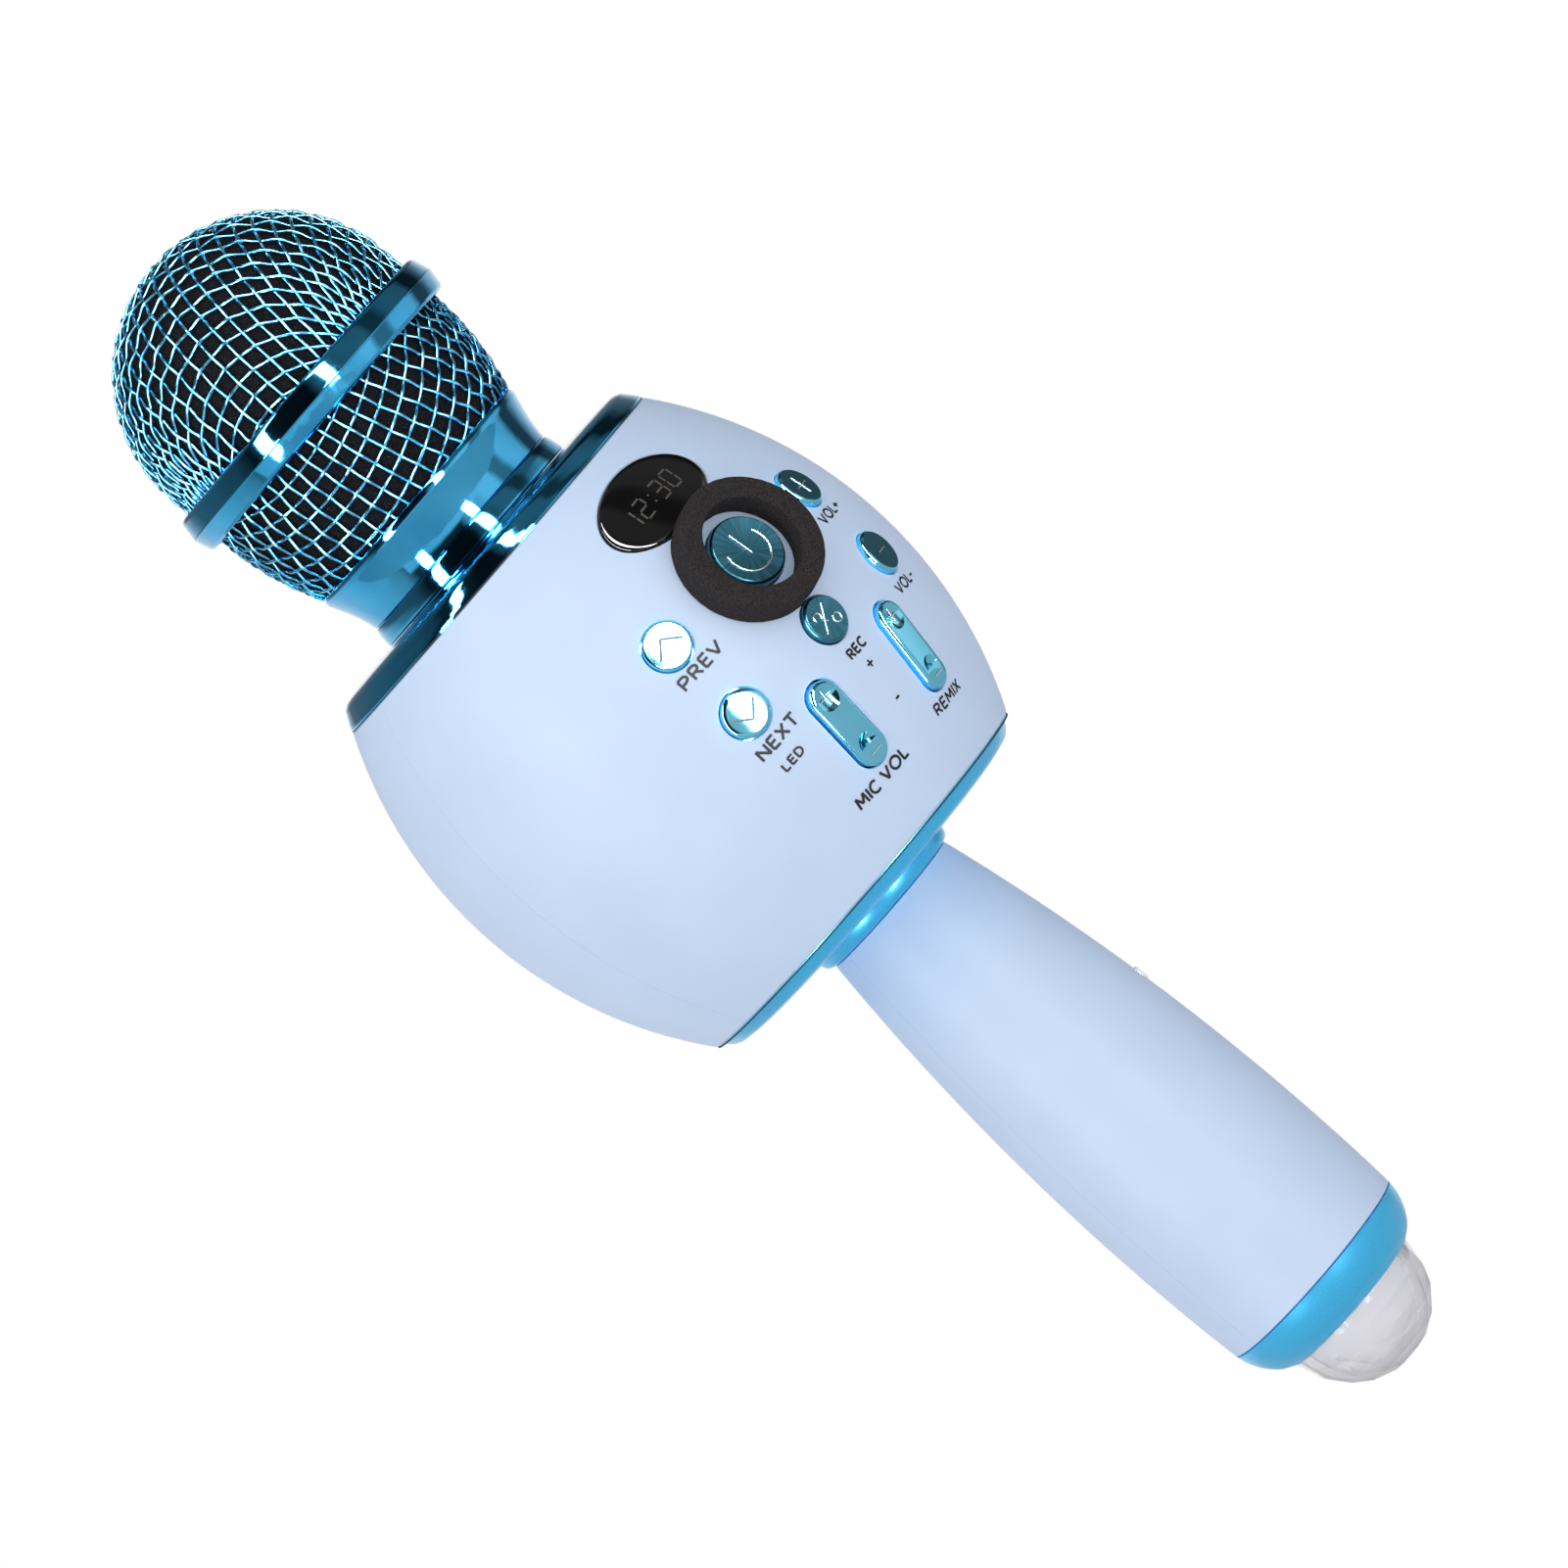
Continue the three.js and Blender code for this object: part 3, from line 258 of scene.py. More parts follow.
def turned(profile: Sequence[Point], steps: int = 128, half_step: bool = False) -> Shape:
    """Turns a profile of (radius, height) about the Z axis.

    Args:
        profile: It starts and ends on the axis, or it is closed from its last point to its first.
        steps: Flats round the axis.
        half_step: Starts half a flat round, so that no corner lies on the X axis.

    Returns:
        The closed shape.
    """
    bm = bmesh.new()
    start = math.pi / steps if half_step else 0.0
    verts = [bm.verts.new((r * math.cos(start), r * math.sin(start), z)) for r, z in profile]
    pairs = list(zip(verts, verts[1:]))
    if profile[0][0] > 0:
        pairs.append((verts[-1], verts[0]))
    edges = [bm.edges.new(pair) for pair in pairs]
    bmesh.ops.spin(
        bm,
        geom=verts + edges,
        cent=(0, 0, 0),
        axis=(0, 0, 1),
        angle=FULL_TURN,
        steps=steps,
        use_merge=True,
        use_duplicate=False,
    )
    bmesh.ops.remove_doubles(bm, verts=bm.verts, dist=1e-4)
    bmesh.ops.dissolve_degenerate(bm, dist=1e-5, edges=bm.edges)
    return outward(bm)


def slab(size: Sequence[float], centre: Sequence[float], edge: float = 0.0, segments: int = 2) -> Shape:
    """A block with bevelled edges.

    Args:
        size: Its three sides.
        centre: Its middle.
        edge: Width of the bevel.
        segments: Rows of faces round the bevel.

    Returns:
        The block.
    """
    bm = bmesh.new()
    bmesh.ops.create_cube(bm, size=1)
    bmesh.ops.scale(bm, vec=size, verts=bm.verts)
    if edge > 0:
        bevelled(bm, bm.edges, edge, segments)
    bmesh.ops.translate(bm, vec=centre, verts=bm.verts)
    return bm


def bevelled(bm: Shape, edges: Iterable[bmesh.types.BMEdge], width: float, segments: int = 2) -> None:
    """Rounds edges of a shape."""
    bmesh.ops.bevel(
        bm,
        geom=list(edges),
        offset=width,
        offset_type="OFFSET",
        affect="EDGES",
        segments=segments,
        profile=0.5,
        material=-1,
        clamp_overlap=True,
    )


def placed(bm: Shape, matrix: Matrix) -> Shape:
    """Moves a shape by a matrix and returns it."""
    bmesh.ops.transform(bm, matrix=matrix, verts=bm.verts)
    return bm


def lying(bm: Shape, seat: Seat) -> Shape:
    """Lets a flat shape follow the barrel under it, in its seat's axes, and returns it."""
    for vert in bm.verts:
        vert.co.z += seat.fall(vert.co.x, vert.co.y)
    return bm


def mapped(bm: Shape, size: float) -> Shape:
    """Keeps each corner's X and Y, in sizes from the middle, in a UV map, and returns the shape."""
    layer = bm.loops.layers.uv.new("Face")
    for face in bm.faces:
        for loop in face.loops:
            loop[layer].uv = (loop.vert.co.x / size + 0.5, loop.vert.co.y / size + 0.5)
    return bm


def gathered(*shapes: Shape) -> Shape:
    """Puts several shapes into the first one, and returns it."""
    whole, *rest = shapes
    for shape in rest:
        mesh = bpy.data.meshes.new("part")
        shape.to_mesh(mesh)
        whole.from_mesh(mesh)
        bpy.data.meshes.remove(mesh)
        shape.free()
    return whole


class Cut(Enum):
    """What a cutting shape does to the shape it meets."""

    AWAY = "DIFFERENCE"
    JOIN = "UNION"
    KEEP = "INTERSECT"


def carved(
    bm: Shape,
    *tools: Shape,
    how: Cut = Cut.AWAY,
    solver: str = "EXACT",
) -> Shape:
    """Cuts, joins or keeps the part of a shape that other shapes meet.

    Args:
        bm: The shape that is worked.
        tools: Closed shapes that don't touch each other.
        how: What is done.
        solver: The way of cutting; FAST suits a plain cut through a plate.

    Returns:
        The worked shape.
    """
    blank, tool = (loose_object(shape) for shape in (bm, gathered(*tools)))
    modifier = blank.modifiers.new("cut", "BOOLEAN")
    modifier.operation = how.value
    modifier.solver = solver
    modifier.object = tool
    graph = bpy.context.evaluated_depsgraph_get()
    mesh = bpy.data.meshes.new_from_object(blank.evaluated_get(graph))
    made = bmesh.new()
    made.from_mesh(mesh)
    bpy.data.meshes.remove(mesh)
    for thing in (blank, tool):
        bpy.data.meshes.remove(thing.data)
    bmesh.ops.remove_doubles(made, verts=made.verts, dist=1e-4)
    bmesh.ops.dissolve_degenerate(made, dist=1e-4, edges=made.edges)
    return made


def loose_object(bm: Shape) -> bpy.types.Object:
    """An object that holds a shape for a modifier to work on."""
    mesh = bpy.data.meshes.new("blank")
    bm.to_mesh(mesh)
    bm.free()
    thing = bpy.data.objects.new("blank", mesh)
    bpy.context.scene.collection.objects.link(thing)
    return thing


def pill(bm: Shape, straight: float) -> Shape:
    """Draws a turned shape out along Y by a straight stretch, and returns it."""
    for vert in bm.verts:
        if abs(vert.co.y) > 1e-6:
            vert.co.y += math.copysign(straight / 2, vert.co.y)
    return bm


def halved(bm: Shape, side: int, seam: float) -> Shape:
    """Keeps the half of a closed shape on one side of the parting plane.

    Args:
        bm: The shape.
        side: -1 for the front and 1 for the back.
        seam: Gap between the halves.

    Returns:
        The closed half.
    """
    cut = bmesh.ops.bisect_plane(
        bm,
        geom=bm.verts[:] + bm.edges[:] + bm.faces[:],
        plane_co=(0, side * seam / 2, 0),
        plane_no=(0, side, 0),
        clear_inner=True,
    )
    rim = [edge for edge in cut["geom_cut"] if isinstance(edge, bmesh.types.BMEdge)]
    bmesh.ops.holes_fill(bm, edges=rim)
    return outward(bm)


def tube(routes: Sequence[Sequence[Vector]], radius: float, sides: int = 8) -> Shape:
    """Round wires along routes, with closed ends.

    Args:
        routes: Each wire's points.
        radius: Radius of the wire.
        sides: Flats round it; 8 or 4.

    Returns:
        The wires.
    """
    curve = bpy.data.curves.new("wires", "CURVE")
    curve.dimensions = "3D"
    curve.bevel_depth = radius
    curve.bevel_resolution = sides // 4
    curve.use_fill_caps = True
    for route in routes:
        spline = curve.splines.new("POLY")
        spline.points.add(len(route) - 1)
        spline.points.foreach_set("co", [value for point in route for value in (*point, 1.0)])
    wires = bpy.data.objects.new("wires", curve)
    bpy.context.scene.collection.objects.link(wires)
    graph = bpy.context.evaluated_depsgraph_get()
    mesh = bpy.data.meshes.new_from_object(wires.evaluated_get(graph))
    bm = bmesh.new()
    bm.from_mesh(mesh)
    bpy.data.objects.remove(wires)
    bpy.data.curves.remove(curve)
    bpy.data.meshes.remove(mesh)
    bmesh.ops.remove_doubles(bm, verts=bm.verts, dist=1e-4)
    return bm


def swept(centre: Point, radius: Point, start: float, end: float, steps: int = 8) -> tuple[Point, ...]:
    """Points round part of an ellipse, between two angles in degrees."""
    angles = [math.radians(start + (end - start) * i / steps) for i in range(steps + 1)]
    return tuple((centre[0] + radius[0] * math.cos(a), centre[1] + radius[1] * math.sin(a)) for a in angles)


SEGMENTS: dict[str, tuple[Point, Point]] = {
    "a": ((0.06, 1), (0.5, 1)),
    "b": ((0.55, 0.94), (0.55, 0.54)),
    "c": ((0.55, 0.46), (0.55, 0.06)),
    "d": ((0.06, 0), (0.5, 0)),
    "e": ((0, 0.46), (0, 0.06)),
    "f": ((0, 0.54), (0, 0.94)),
    "g": ((0.06, 0.5), (0.5, 0.5)),
}


def bowl(height: float, radius: Point) -> tuple[Point, ...]:
    """The round part of a P or an R, from the top of its stem."""
    return ((0.3, 1), *swept((0.3, height), radius, 80, -80))


def figure(lit: str) -> tuple[tuple[Point, Point], ...]:
    """A display figure from the names of its lit segments."""
    return tuple(SEGMENTS[name] for name in lit)


# Centre lines of each letter, in capital heights from its lower left corner.
LETTERS: dict[str, tuple[tuple[Point, ...], ...]] = {
    "C": (swept((0.40, 0.5), (0.36, 0.5), 50, 310, 14),),
    "D": (
        ((0.05, 0), (0.05, 1), (0.25, 1), *swept((0.25, 0.5), (0.37, 0.5), 80, -80), (0.25, 0), (0.05, 0)),
    ),
    "E": (((0.5, 0), (0.05, 0), (0.05, 1), (0.5, 1)), ((0.05, 0.52), (0.45, 0.52))),
    "I": (((0.05, 0), (0.05, 1)),),
    "L": (((0.05, 1), (0.05, 0), (0.48, 0)),),
    "M": (((0.05, 0), (0.12, 1), (0.42, 0.25), (0.72, 1), (0.79, 0)),),
    "N": (((0.05, 0), (0.05, 1), (0.63, 0), (0.63, 1)),),
    "O": (swept((0.42, 0.5), (0.39, 0.5), 0, 360, 20),),
    "P": (((0.05, 0), (0.05, 1), *bowl(0.73, (0.25, 0.27)), (0.3, 0.46), (0.05, 0.46)),),
    "R": (
        ((0.05, 0), (0.05, 1), *bowl(0.74, (0.24, 0.26)), (0.3, 0.48), (0.05, 0.48)),
        ((0.3, 0.48), (0.58, 0)),
    ),
    "T": (((0.3, 0), (0.3, 1)), ((0.0, 1), (0.6, 1))),
    "V": (((0.0, 1), (0.32, 0), (0.64, 1)),),
    "X": (((0.02, 0), (0.58, 1)), ((0.02, 1), (0.58, 0))),
    "+": (((0.05, 0.45), (0.6, 0.45)), ((0.325, 0.18), (0.325, 0.73))),
    "-": (((0.05, 0.42), (0.4, 0.42)),),
    "1": (((0.3, 0.08), (0.3, 0.46)), ((0.3, 0.54), (0.3, 0.92))),
    "2": figure("abged"),
    "3": figure("abgcd"),
    "0": figure("abcdef"),
    ":": (((0.1, 0.68), (0.1, 0.78)), ((0.1, 0.22), (0.1, 0.32))),
}


def strokes(line: Sequence[Vector], bend: float = 50.0) -> list[list[Vector]]:
    """Splits a line at corners that turn by more than an angle in degrees."""
    runs = [[line[0]]]
    for i in range(1, len(line)):
        runs[-1].append(line[i])
        if i + 1 < len(line) and (line[i] - line[i - 1]).angle(line[i + 1] - line[i], 0) > math.radians(bend):
            runs.append([line[i]])
    return runs


def lettering(words: str, cap_height: float, width: float, stroke: float, gap: float = 0.2) -> Shape:
    """Flat letters drawn with one pen, centred on the origin, reading along X.

    Args:
        words: What they say.
        cap_height: Height of a capital between stroke centres.
        width: Width of the whole line, or 0 for the letters' own.
        stroke: Width of the pen.
        gap: Space between letters as a share of their height.

    Returns:
        The letters, about the plane.
    """
    pen, routes = 0.0, []
    for letter in words:
        lines = LETTERS.get(letter, ())
        routes += [[Vector((pen + x, y - 0.5, 0)) * cap_height for x, y in line] for line in lines]
        pen += max((x for line in lines for x, _ in line), default=0.15) + gap
    across = [point.x for route in routes for point in route]
    stretch = (width - stroke) / (max(across) - min(across)) if width else 1.0
    middle = (max(across) + min(across)) / 2
    for route in routes:
        for point in route:
            point.x = (point.x - middle) * stretch
    letters = tube([run for route in routes for run in strokes(route)], stroke / 2)
    bmesh.ops.scale(letters, vec=(1, 1, 0.12), verts=letters.verts)
    return letters


def sliced(bm: Shape, pitch: float) -> Shape:
    """Cuts a flat shape into strips across X, so that it can follow a curve, and returns it."""
    reach = max(abs(vert.co.x) for vert in bm.verts)
    for i in range(int(-reach / pitch), int(reach / pitch) + 1):
        bmesh.ops.bisect_plane(
            bm,
            geom=bm.verts[:] + bm.edges[:] + bm.faces[:],
            plane_co=(i * pitch, 0, 0),
            plane_no=(1, 0, 0),
        )
    return bm


# ---------------------------------------------------------------- finishes


def add_node(tree: bpy.types.NodeTree, kind: str, inputs: dict, **settings: object) -> bpy.types.Node:
    """Adds a node to a tree.

    Args:
        tree: The tree.
        kind: The node's type, without the leading ShaderNode.
        inputs: Socket name or number to a value or to another node's output.
        settings: The node's own options.

    Returns:
        The node.
    """
    made = tree.nodes.new("ShaderNode" + kind)
    for key, value in settings.items():
        setattr(made, key, value)
    for key, value in inputs.items():
        if isinstance(value, Socket):
            tree.links.new(value, made.inputs[key])
        else:
            made.inputs[key].default_value = value
    return made


def add_ramp(tree: bpy.types.NodeTree, value: Socket, stops: Sequence[tuple[float, Colour]]) -> Socket:
    """Adds colours along a value, each at its place from 0 to 1."""
    made = add_node(tree, "ValToRGB", {"Fac": value})
    elements = made.color_ramp.elements
    while len(elements) < len(stops):
        elements.new(0.5)
    for element, (place, colour) in zip(elements, stops):
        element.position = place
        element.color = (*colour, 1.0)
    return made.outputs["Color"]


class Nodes:
    """Builds one material's nodes, in millimetres of the object's own coordinates."""

    def __init__(self, name: str) -> None:
        """Starts a material with a shader and a coordinate node."""
        self.material = bpy.data.materials.new(name)
        self.material.use_nodes = True
        self.tree = self.material.node_tree
        self.shader = self.tree.nodes["Principled BSDF"]
        self.coordinates = self.tree.nodes.new("ShaderNodeTexCoord").outputs["Object"]

    def set(self, **values: float | Colour) -> None:
        """Sets the shader's sockets, named with underscores for spaces."""
        for key, value in values.items():
            socket = self.shader.inputs[key.replace("_", " ")]
            is_colour = isinstance(value, tuple) and len(value) == 3 and socket.type == "RGBA"
            socket.default_value = (*value, 1.0) if is_colour else value

    def node(self, kind: str, inputs: dict | None = None, **settings: object) -> bpy.types.Node:
        """Adds a node, as add_node does."""
        return add_node(self.tree, kind, inputs or {}, **settings)

    def noise(self, size: float, detail: float = 2.0) -> Socket:
        """Soft noise with features of a size in millimetres."""
        inputs = {"Vector": self.coordinates, "Scale": 1 / (size * MM), "Detail": detail}
        return self.node("TexNoise", inputs).outputs["Fac"]

    def cells(self, size: float) -> Socket:
        """Distance from the nearest of scattered points, with cells of a size in millimetres."""
        inputs = {"Vector": self.coordinates, "Scale": 1 / (size * MM)}
        return self.node("TexVoronoi", inputs).outputs["Distance"]

    def ramp(self, value: Socket, *stops: tuple[float, Colour]) -> Socket:
        """Colours along a value."""
        return add_ramp(self.tree, value, stops)

    def between(self, value: Socket, start: float, end: float) -> Socket:
        """A value from 0 to 1 spread between two numbers."""
        inputs = {"Value": value, "To Min": start, "To Max": end}
        return self.node("MapRange", inputs).outputs["Result"]

    def colour(self, socket: Socket) -> None:
        """Drives the base colour."""
        self.tree.links.new(socket, self.shader.inputs["Base Color"])

    def roughness(self, socket: Socket) -> None:
        """Drives the roughness."""
        self.tree.links.new(socket, self.shader.inputs["Roughness"])

    def bump(self, *layers: tuple[Socket, float]) -> None:
        """Stacks bump layers, each a height from 0 to 1 and its depth in millimetres."""
        normal = None
        for height, depth in layers:
            inputs = {"Height": height, "Distance": depth * MM, "Strength": 1.0}
            if normal:
                inputs["Normal"] = normal
            normal = self.node("Bump", inputs).outputs["Normal"]
        self.tree.links.new(normal, self.shader.inputs["Normal"])


class Finish:
    """A way to dress a surface. Each kind builds its material once."""

    slot: str = "steel"
    made: dict = {}

    @property
    def material(self) -> bpy.types.Material:
        """The finish's material."""
        key = repr(self)
        if key not in Finish.made:
            Finish.made[key] = self.build()
        return Finish.made[key]

    def build(self) -> bpy.types.Material:
        """Makes the material."""
        raise NotImplementedError


@dataclass(frozen=True)
class SoftTouch(Finish):
    """Satin soft-touch paint on moulded plastic."""

    pale: Colour = (0.600, 0.740, 0.960)
    deep: Colour = (0.575, 0.715, 0.945)
    slot: str = "soft_touch_blue"

    def build(self) -> bpy.types.Material:
        """Makes a slightly mottled satin with a very fine grain."""
        nodes = Nodes("soft_touch_blue")
        nodes.set(Specular_IOR_Level=0.2, Sheen_Weight=0.05, Sheen_Roughness=0.4)
        nodes.colour(nodes.ramp(nodes.noise(14.0), (0.3, self.deep), (0.7, self.pale)))
        nodes.roughness(nodes.between(nodes.noise(3.0), 0.54, 0.62))
        nodes.bump((nodes.noise(0.22, 1.0), 0.004), (nodes.noise(6.0), 0.01))
        return nodes.material


@dataclass(frozen=True)
class Chrome(Finish):
    """Coloured vacuum plating with the slight waviness of plated plastic."""

    tint: Colour = (0.045, 0.350, 0.640)
    edge: Colour = (0.070, 0.430, 0.740)
    name: str = "blue_chrome"
    slot: str = "blue_chrome"
    rough: float = 0.045
    wave: float = 0.09

    def build(self) -> bpy.types.Material:
        """Makes a near mirror whose surface swims a little."""
        nodes = Nodes(self.name)
        nodes.set(Metallic=1.0, Specular_IOR_Level=0.5)
        nodes.colour(nodes.ramp(nodes.noise(9.0), (0.35, self.tint), (0.65, self.edge)))
        nodes.roughness(nodes.between(nodes.noise(1.2, 4.0), self.rough * 0.7, self.rough * 1.5))
        nodes.bump((nodes.noise(6.5), self.wave))
        return nodes.material


@dataclass(frozen=True)
class MetallicPaint(Finish):
    """Bright metallic lacquer with fine flake."""

    tint: Colour = (0.045, 0.480, 0.860)
    flake: Colour = (0.080, 0.560, 0.920)
    slot: str = "bright_blue_metal"

    def build(self) -> bpy.types.Material:
        """Makes a satin metal with flake under a thin coat."""
        nodes = Nodes("bright_blue_metal")
        nodes.set(Metallic=0.35, Specular_IOR_Level=0.25, Coat_Weight=0.2, Coat_Roughness=0.12)
        nodes.colour(nodes.ramp(nodes.noise(0.16, 1.0), (0.42, self.tint), (0.68, self.flake)))
        nodes.roughness(nodes.between(nodes.noise(0.3), 0.26, 0.36))
        nodes.bump((nodes.noise(0.16, 1.0), 0.004), (nodes.noise(5.0), 0.01))
        return nodes.material


@dataclass(frozen=True)
class Wire(Finish):
    """Plated steel wire."""

    dark: Colour = (0.055, 0.290, 0.520)
    pale: Colour = (0.220, 0.610, 0.820)
    slot: str = "grille_wire"

    def build(self) -> bpy.types.Material:
        """Makes plating that is thinner and paler in places, with drawing marks."""
        nodes = Nodes("grille_wire")
        nodes.set(Metallic=1.0)
        nodes.colour(nodes.ramp(nodes.noise(1.6), (0.35, self.dark), (0.62, self.pale)))
        nodes.roughness(nodes.between(nodes.noise(0.5), 0.14, 0.3))
        nodes.bump((nodes.noise(0.12), 0.006))
        return nodes.material


@dataclass(frozen=True)
class Foam(Finish):
    """Open-cell foam, in the slot of its own name."""

    name: str
    body: Colour
    # The cell colour is painted shade: the darker colour in the pores' hollows.
    cell: Colour
    fleck: Colour
    size: float

    @property
    def slot(self) -> str:
        """The record's slot."""
        return self.name

    def build(self) -> bpy.types.Material:
        """Makes cells of two sizes with pale flecks on their walls, and painted shade darkening the pores."""
        nodes = Nodes(self.name)
        nodes.set(Roughness=0.95, Specular_IOR_Level=0.08)
        pores = nodes.cells(self.size)
        grain = nodes.noise(self.size * 0.6, 3.0)
        # The pores take the darker cell colour, painted shade in the hollows.
        base = nodes.ramp(pores, (0.15, self.cell), (0.55, self.body))
        flecks = nodes.ramp(grain, (0.62, (0.0, 0.0, 0.0)), (0.74, (1.0, 1.0, 1.0)))
        mix = nodes.node("Mix", {0: flecks, 6: base, 7: (*self.fleck, 1.0)}, data_type="RGBA")
        nodes.colour(mix.outputs[2])
        nodes.bump((pores, self.size * 0.5), (grain, self.size * 0.3), (nodes.noise(4.0), 0.1))
        return nodes.material


@dataclass(frozen=True)
class Gloss(Finish):
    """Polished plastic or paint of one colour, with dust and fine waves."""

    name: str
    tint: Colour
    slot: str
    rough: float = 0.05
    coat: float = 0.6
    glow: float = 0.0
    wave: float = 0.003

    def build(self) -> bpy.types.Material:
        """Makes the gloss."""
        nodes = Nodes(self.name)
        pale = tuple(min(1.0, channel * 1.15 + 0.001) for channel in self.tint)
        nodes.set(Coat_Weight=self.coat, Coat_Roughness=0.03)
        if self.glow > 0:
            nodes.set(Emission_Color=self.tint, Emission_Strength=self.glow)
        nodes.colour(nodes.ramp(nodes.noise(2.5), (0.3, self.tint), (0.7, pale)))
        nodes.roughness(nodes.between(nodes.noise(0.8), self.rough * 0.8, self.rough * 1.4))
        nodes.bump((nodes.noise(3.0), self.wave))
        return nodes.material


@dataclass(frozen=True)
class Matt(Finish):
    """Moulded, painted or printed stuff with a grain."""

    name: str
    tint: Colour
    slot: str
    rough: float = 0.6
    metal: float = 0.0
    grain: float = 0.4
    depth: float = 0.01

    def build(self) -> bpy.types.Material:
        """Makes the grained surface."""
        nodes = Nodes(self.name)
        pale = tuple(min(1.0, channel * 1.3 + 0.004) for channel in self.tint)
        nodes.set(Metallic=self.metal, Specular_IOR_Level=0.5 if self.metal else 0.25)
        nodes.colour(nodes.ramp(nodes.noise(self.grain * 5), (0.3, self.tint), (0.7, pale)))
        nodes.roughness(nodes.between(nodes.noise(self.grain * 2), self.rough * 0.85, self.rough * 1.15))
        nodes.bump((nodes.noise(self.grain), self.depth))
        return nodes.material


@dataclass(frozen=True)
class SpunChrome(Finish):
    """Plating over a face that was turned on a lathe, read from the piece's UV map."""

    tint: Colour = (0.055, 0.210, 0.290)
    slot: str = "blue_chrome"

    def build(self) -> bpy.types.Material:
        """Makes fine rays from the middle, as a turned face shows them."""
        nodes = Nodes("spun_chrome")
        face = nodes.node("UVMap", uv_map="Face").outputs["UV"]
        centred = nodes.node("Mapping", {"Vector": face, "Location": (-0.5, -0.5, 0)}).outputs["Vector"]
        rays = nodes.node("TexGradient", {"Vector": centred}, gradient_type="RADIAL").outputs["Fac"]
        ring = nodes.node("VectorMath", {0: centred}, operation="LENGTH").outputs["Value"]
        both = nodes.node("CombineXYZ", {"X": rays, "Y": ring}).outputs["Vector"]
        spread = nodes.node("Mapping", {"Vector": both, "Scale": (60, 1.0, 1)}).outputs["Vector"]
        streaks = nodes.node("TexNoise", {"Vector": spread, "Scale": 1.0, "Detail": 3.0}).outputs["Fac"]
        nodes.set(Metallic=1.0, Anisotropic=0.5)
        deep = tuple(channel * 0.75 for channel in self.tint)
        nodes.colour(nodes.ramp(streaks, (0.35, deep), (0.65, self.tint)))
        nodes.roughness(nodes.between(streaks, 0.22, 0.36))
        nodes.bump((streaks, 0.004), (nodes.noise(3.0), 0.006))
        return nodes.material


@dataclass(frozen=True)
class Crystal(Finish):
    """Clear moulded acrylic with a faint haze."""

    haze: Colour = (0.93, 0.925, 0.96)
    slot: str = "clear_crystal"

    def build(self) -> bpy.types.Material:
        """Makes the clear plastic."""
        nodes = Nodes("clear_crystal")
        nodes.set(Base_Color=self.haze, IOR=1.46, Transmission_Weight=0.75)
        nodes.set(Coat_Weight=0.4, Coat_Roughness=0.02)
        nodes.roughness(nodes.between(nodes.noise(2.5), 0.04, 0.12))
        nodes.bump((nodes.noise(3.0), 0.03), (nodes.noise(0.6), 0.002))
        return nodes.material


@dataclass(frozen=True)
class Paper(Finish):
    """Pressed paper pulp of a speaker cone, with rings about the speaker's axis."""

    tint: Colour = (0.012, 0.012, 0.014)
    slot: str = "cone_paper"

    def build(self) -> bpy.types.Material:
        """Makes fibrous paper with fine rings."""
        nodes = Nodes("cone_paper")
        place = (0, 0, -BODY_MIDDLE * MM)
        centred = nodes.node("Mapping", {"Vector": nodes.coordinates, "Location": place}).outputs["Vector"]
        flat = nodes.node("VectorMath", {0: centred, 1: (1, 0, 1)}, operation="MULTIPLY").outputs["Vector"]
        rings = nodes.node(
            "TexWave",
            {"Vector": flat, "Scale": 0.5 / (2.0 * MM)},
            wave_type="RINGS",
            rings_direction="SPHERICAL",
        )
        nodes.set(Roughness=0.85)
        pale = tuple(channel * 2.2 for channel in self.tint)
        nodes.colour(nodes.ramp(nodes.noise(0.7, 5.0), (0.35, self.tint), (0.7, pale)))
        nodes.bump((rings.outputs["Fac"], 0.12), (nodes.noise(0.4, 4.0), 0.03))
        return nodes.material


SOFT_TOUCH = SoftTouch()
CHROME = Chrome()
KEY_CHROME = Chrome(name="key_chrome", tint=(0.19, 0.62, 0.83), edge=(0.22, 0.67, 0.87), wave=0.006)
PAINT = MetallicPaint()
WIRE = Wire()
SPUN = SpunChrome()
# Each foam's cell colour is painted shade that darkens its pores.
LINER_FOAM = Foam(
    "liner_foam", body=(0.005, 0.006, 0.009), cell=(0.001, 0.001, 0.002), fleck=(0.05, 0.06, 0.065), size=0.55
)
RING_FOAM = Foam(
    "ring_foam", body=(0.034, 0.029, 0.030), cell=(0.007, 0.006, 0.0065), fleck=(0.10, 0.09, 0.09), size=0.30
)
LENS = Gloss("display_gloss", (0.002, 0.002, 0.0025), "display_gloss", rough=0.02, coat=0.3)
GLYPH = Gloss("display_glyph", (0.08, 0.07, 0.06), "display_gloss", rough=0.3, glow=0.1)
ETCH = Chrome(name="pale_ridge", tint=(0.62, 0.74, 0.78), edge=(0.72, 0.82, 0.85), rough=0.12, wave=0.002)
INK = Matt("panel_ink", (0.006, 0.006, 0.008), "black_plastic", rough=0.55, grain=0.15, depth=0.002)
FROST = Matt("frosted_mark", (0.15, 0.27, 0.32), "blue_chrome", rough=0.5, grain=0.1, depth=0.002)
BLACK = Matt("black_plastic", (0.012, 0.012, 0.014), "black_plastic", rough=0.45, grain=0.2)
STEEL = Matt("steel", (0.48, 0.49, 0.51), "steel", rough=0.28, metal=1.0, grain=0.3, depth=0.004)
FERRITE = Matt("ferrite", (0.03, 0.03, 0.032), "ferrite", rough=0.7, grain=0.3, depth=0.03)
BOARD = Matt("circuit_board", (0.015, 0.10, 0.05), "circuit_board", rough=0.35, grain=0.6)
PALE_BOARD = Matt("pale_board", (0.75, 0.75, 0.78), "circuit_board", rough=0.4, grain=0.5)
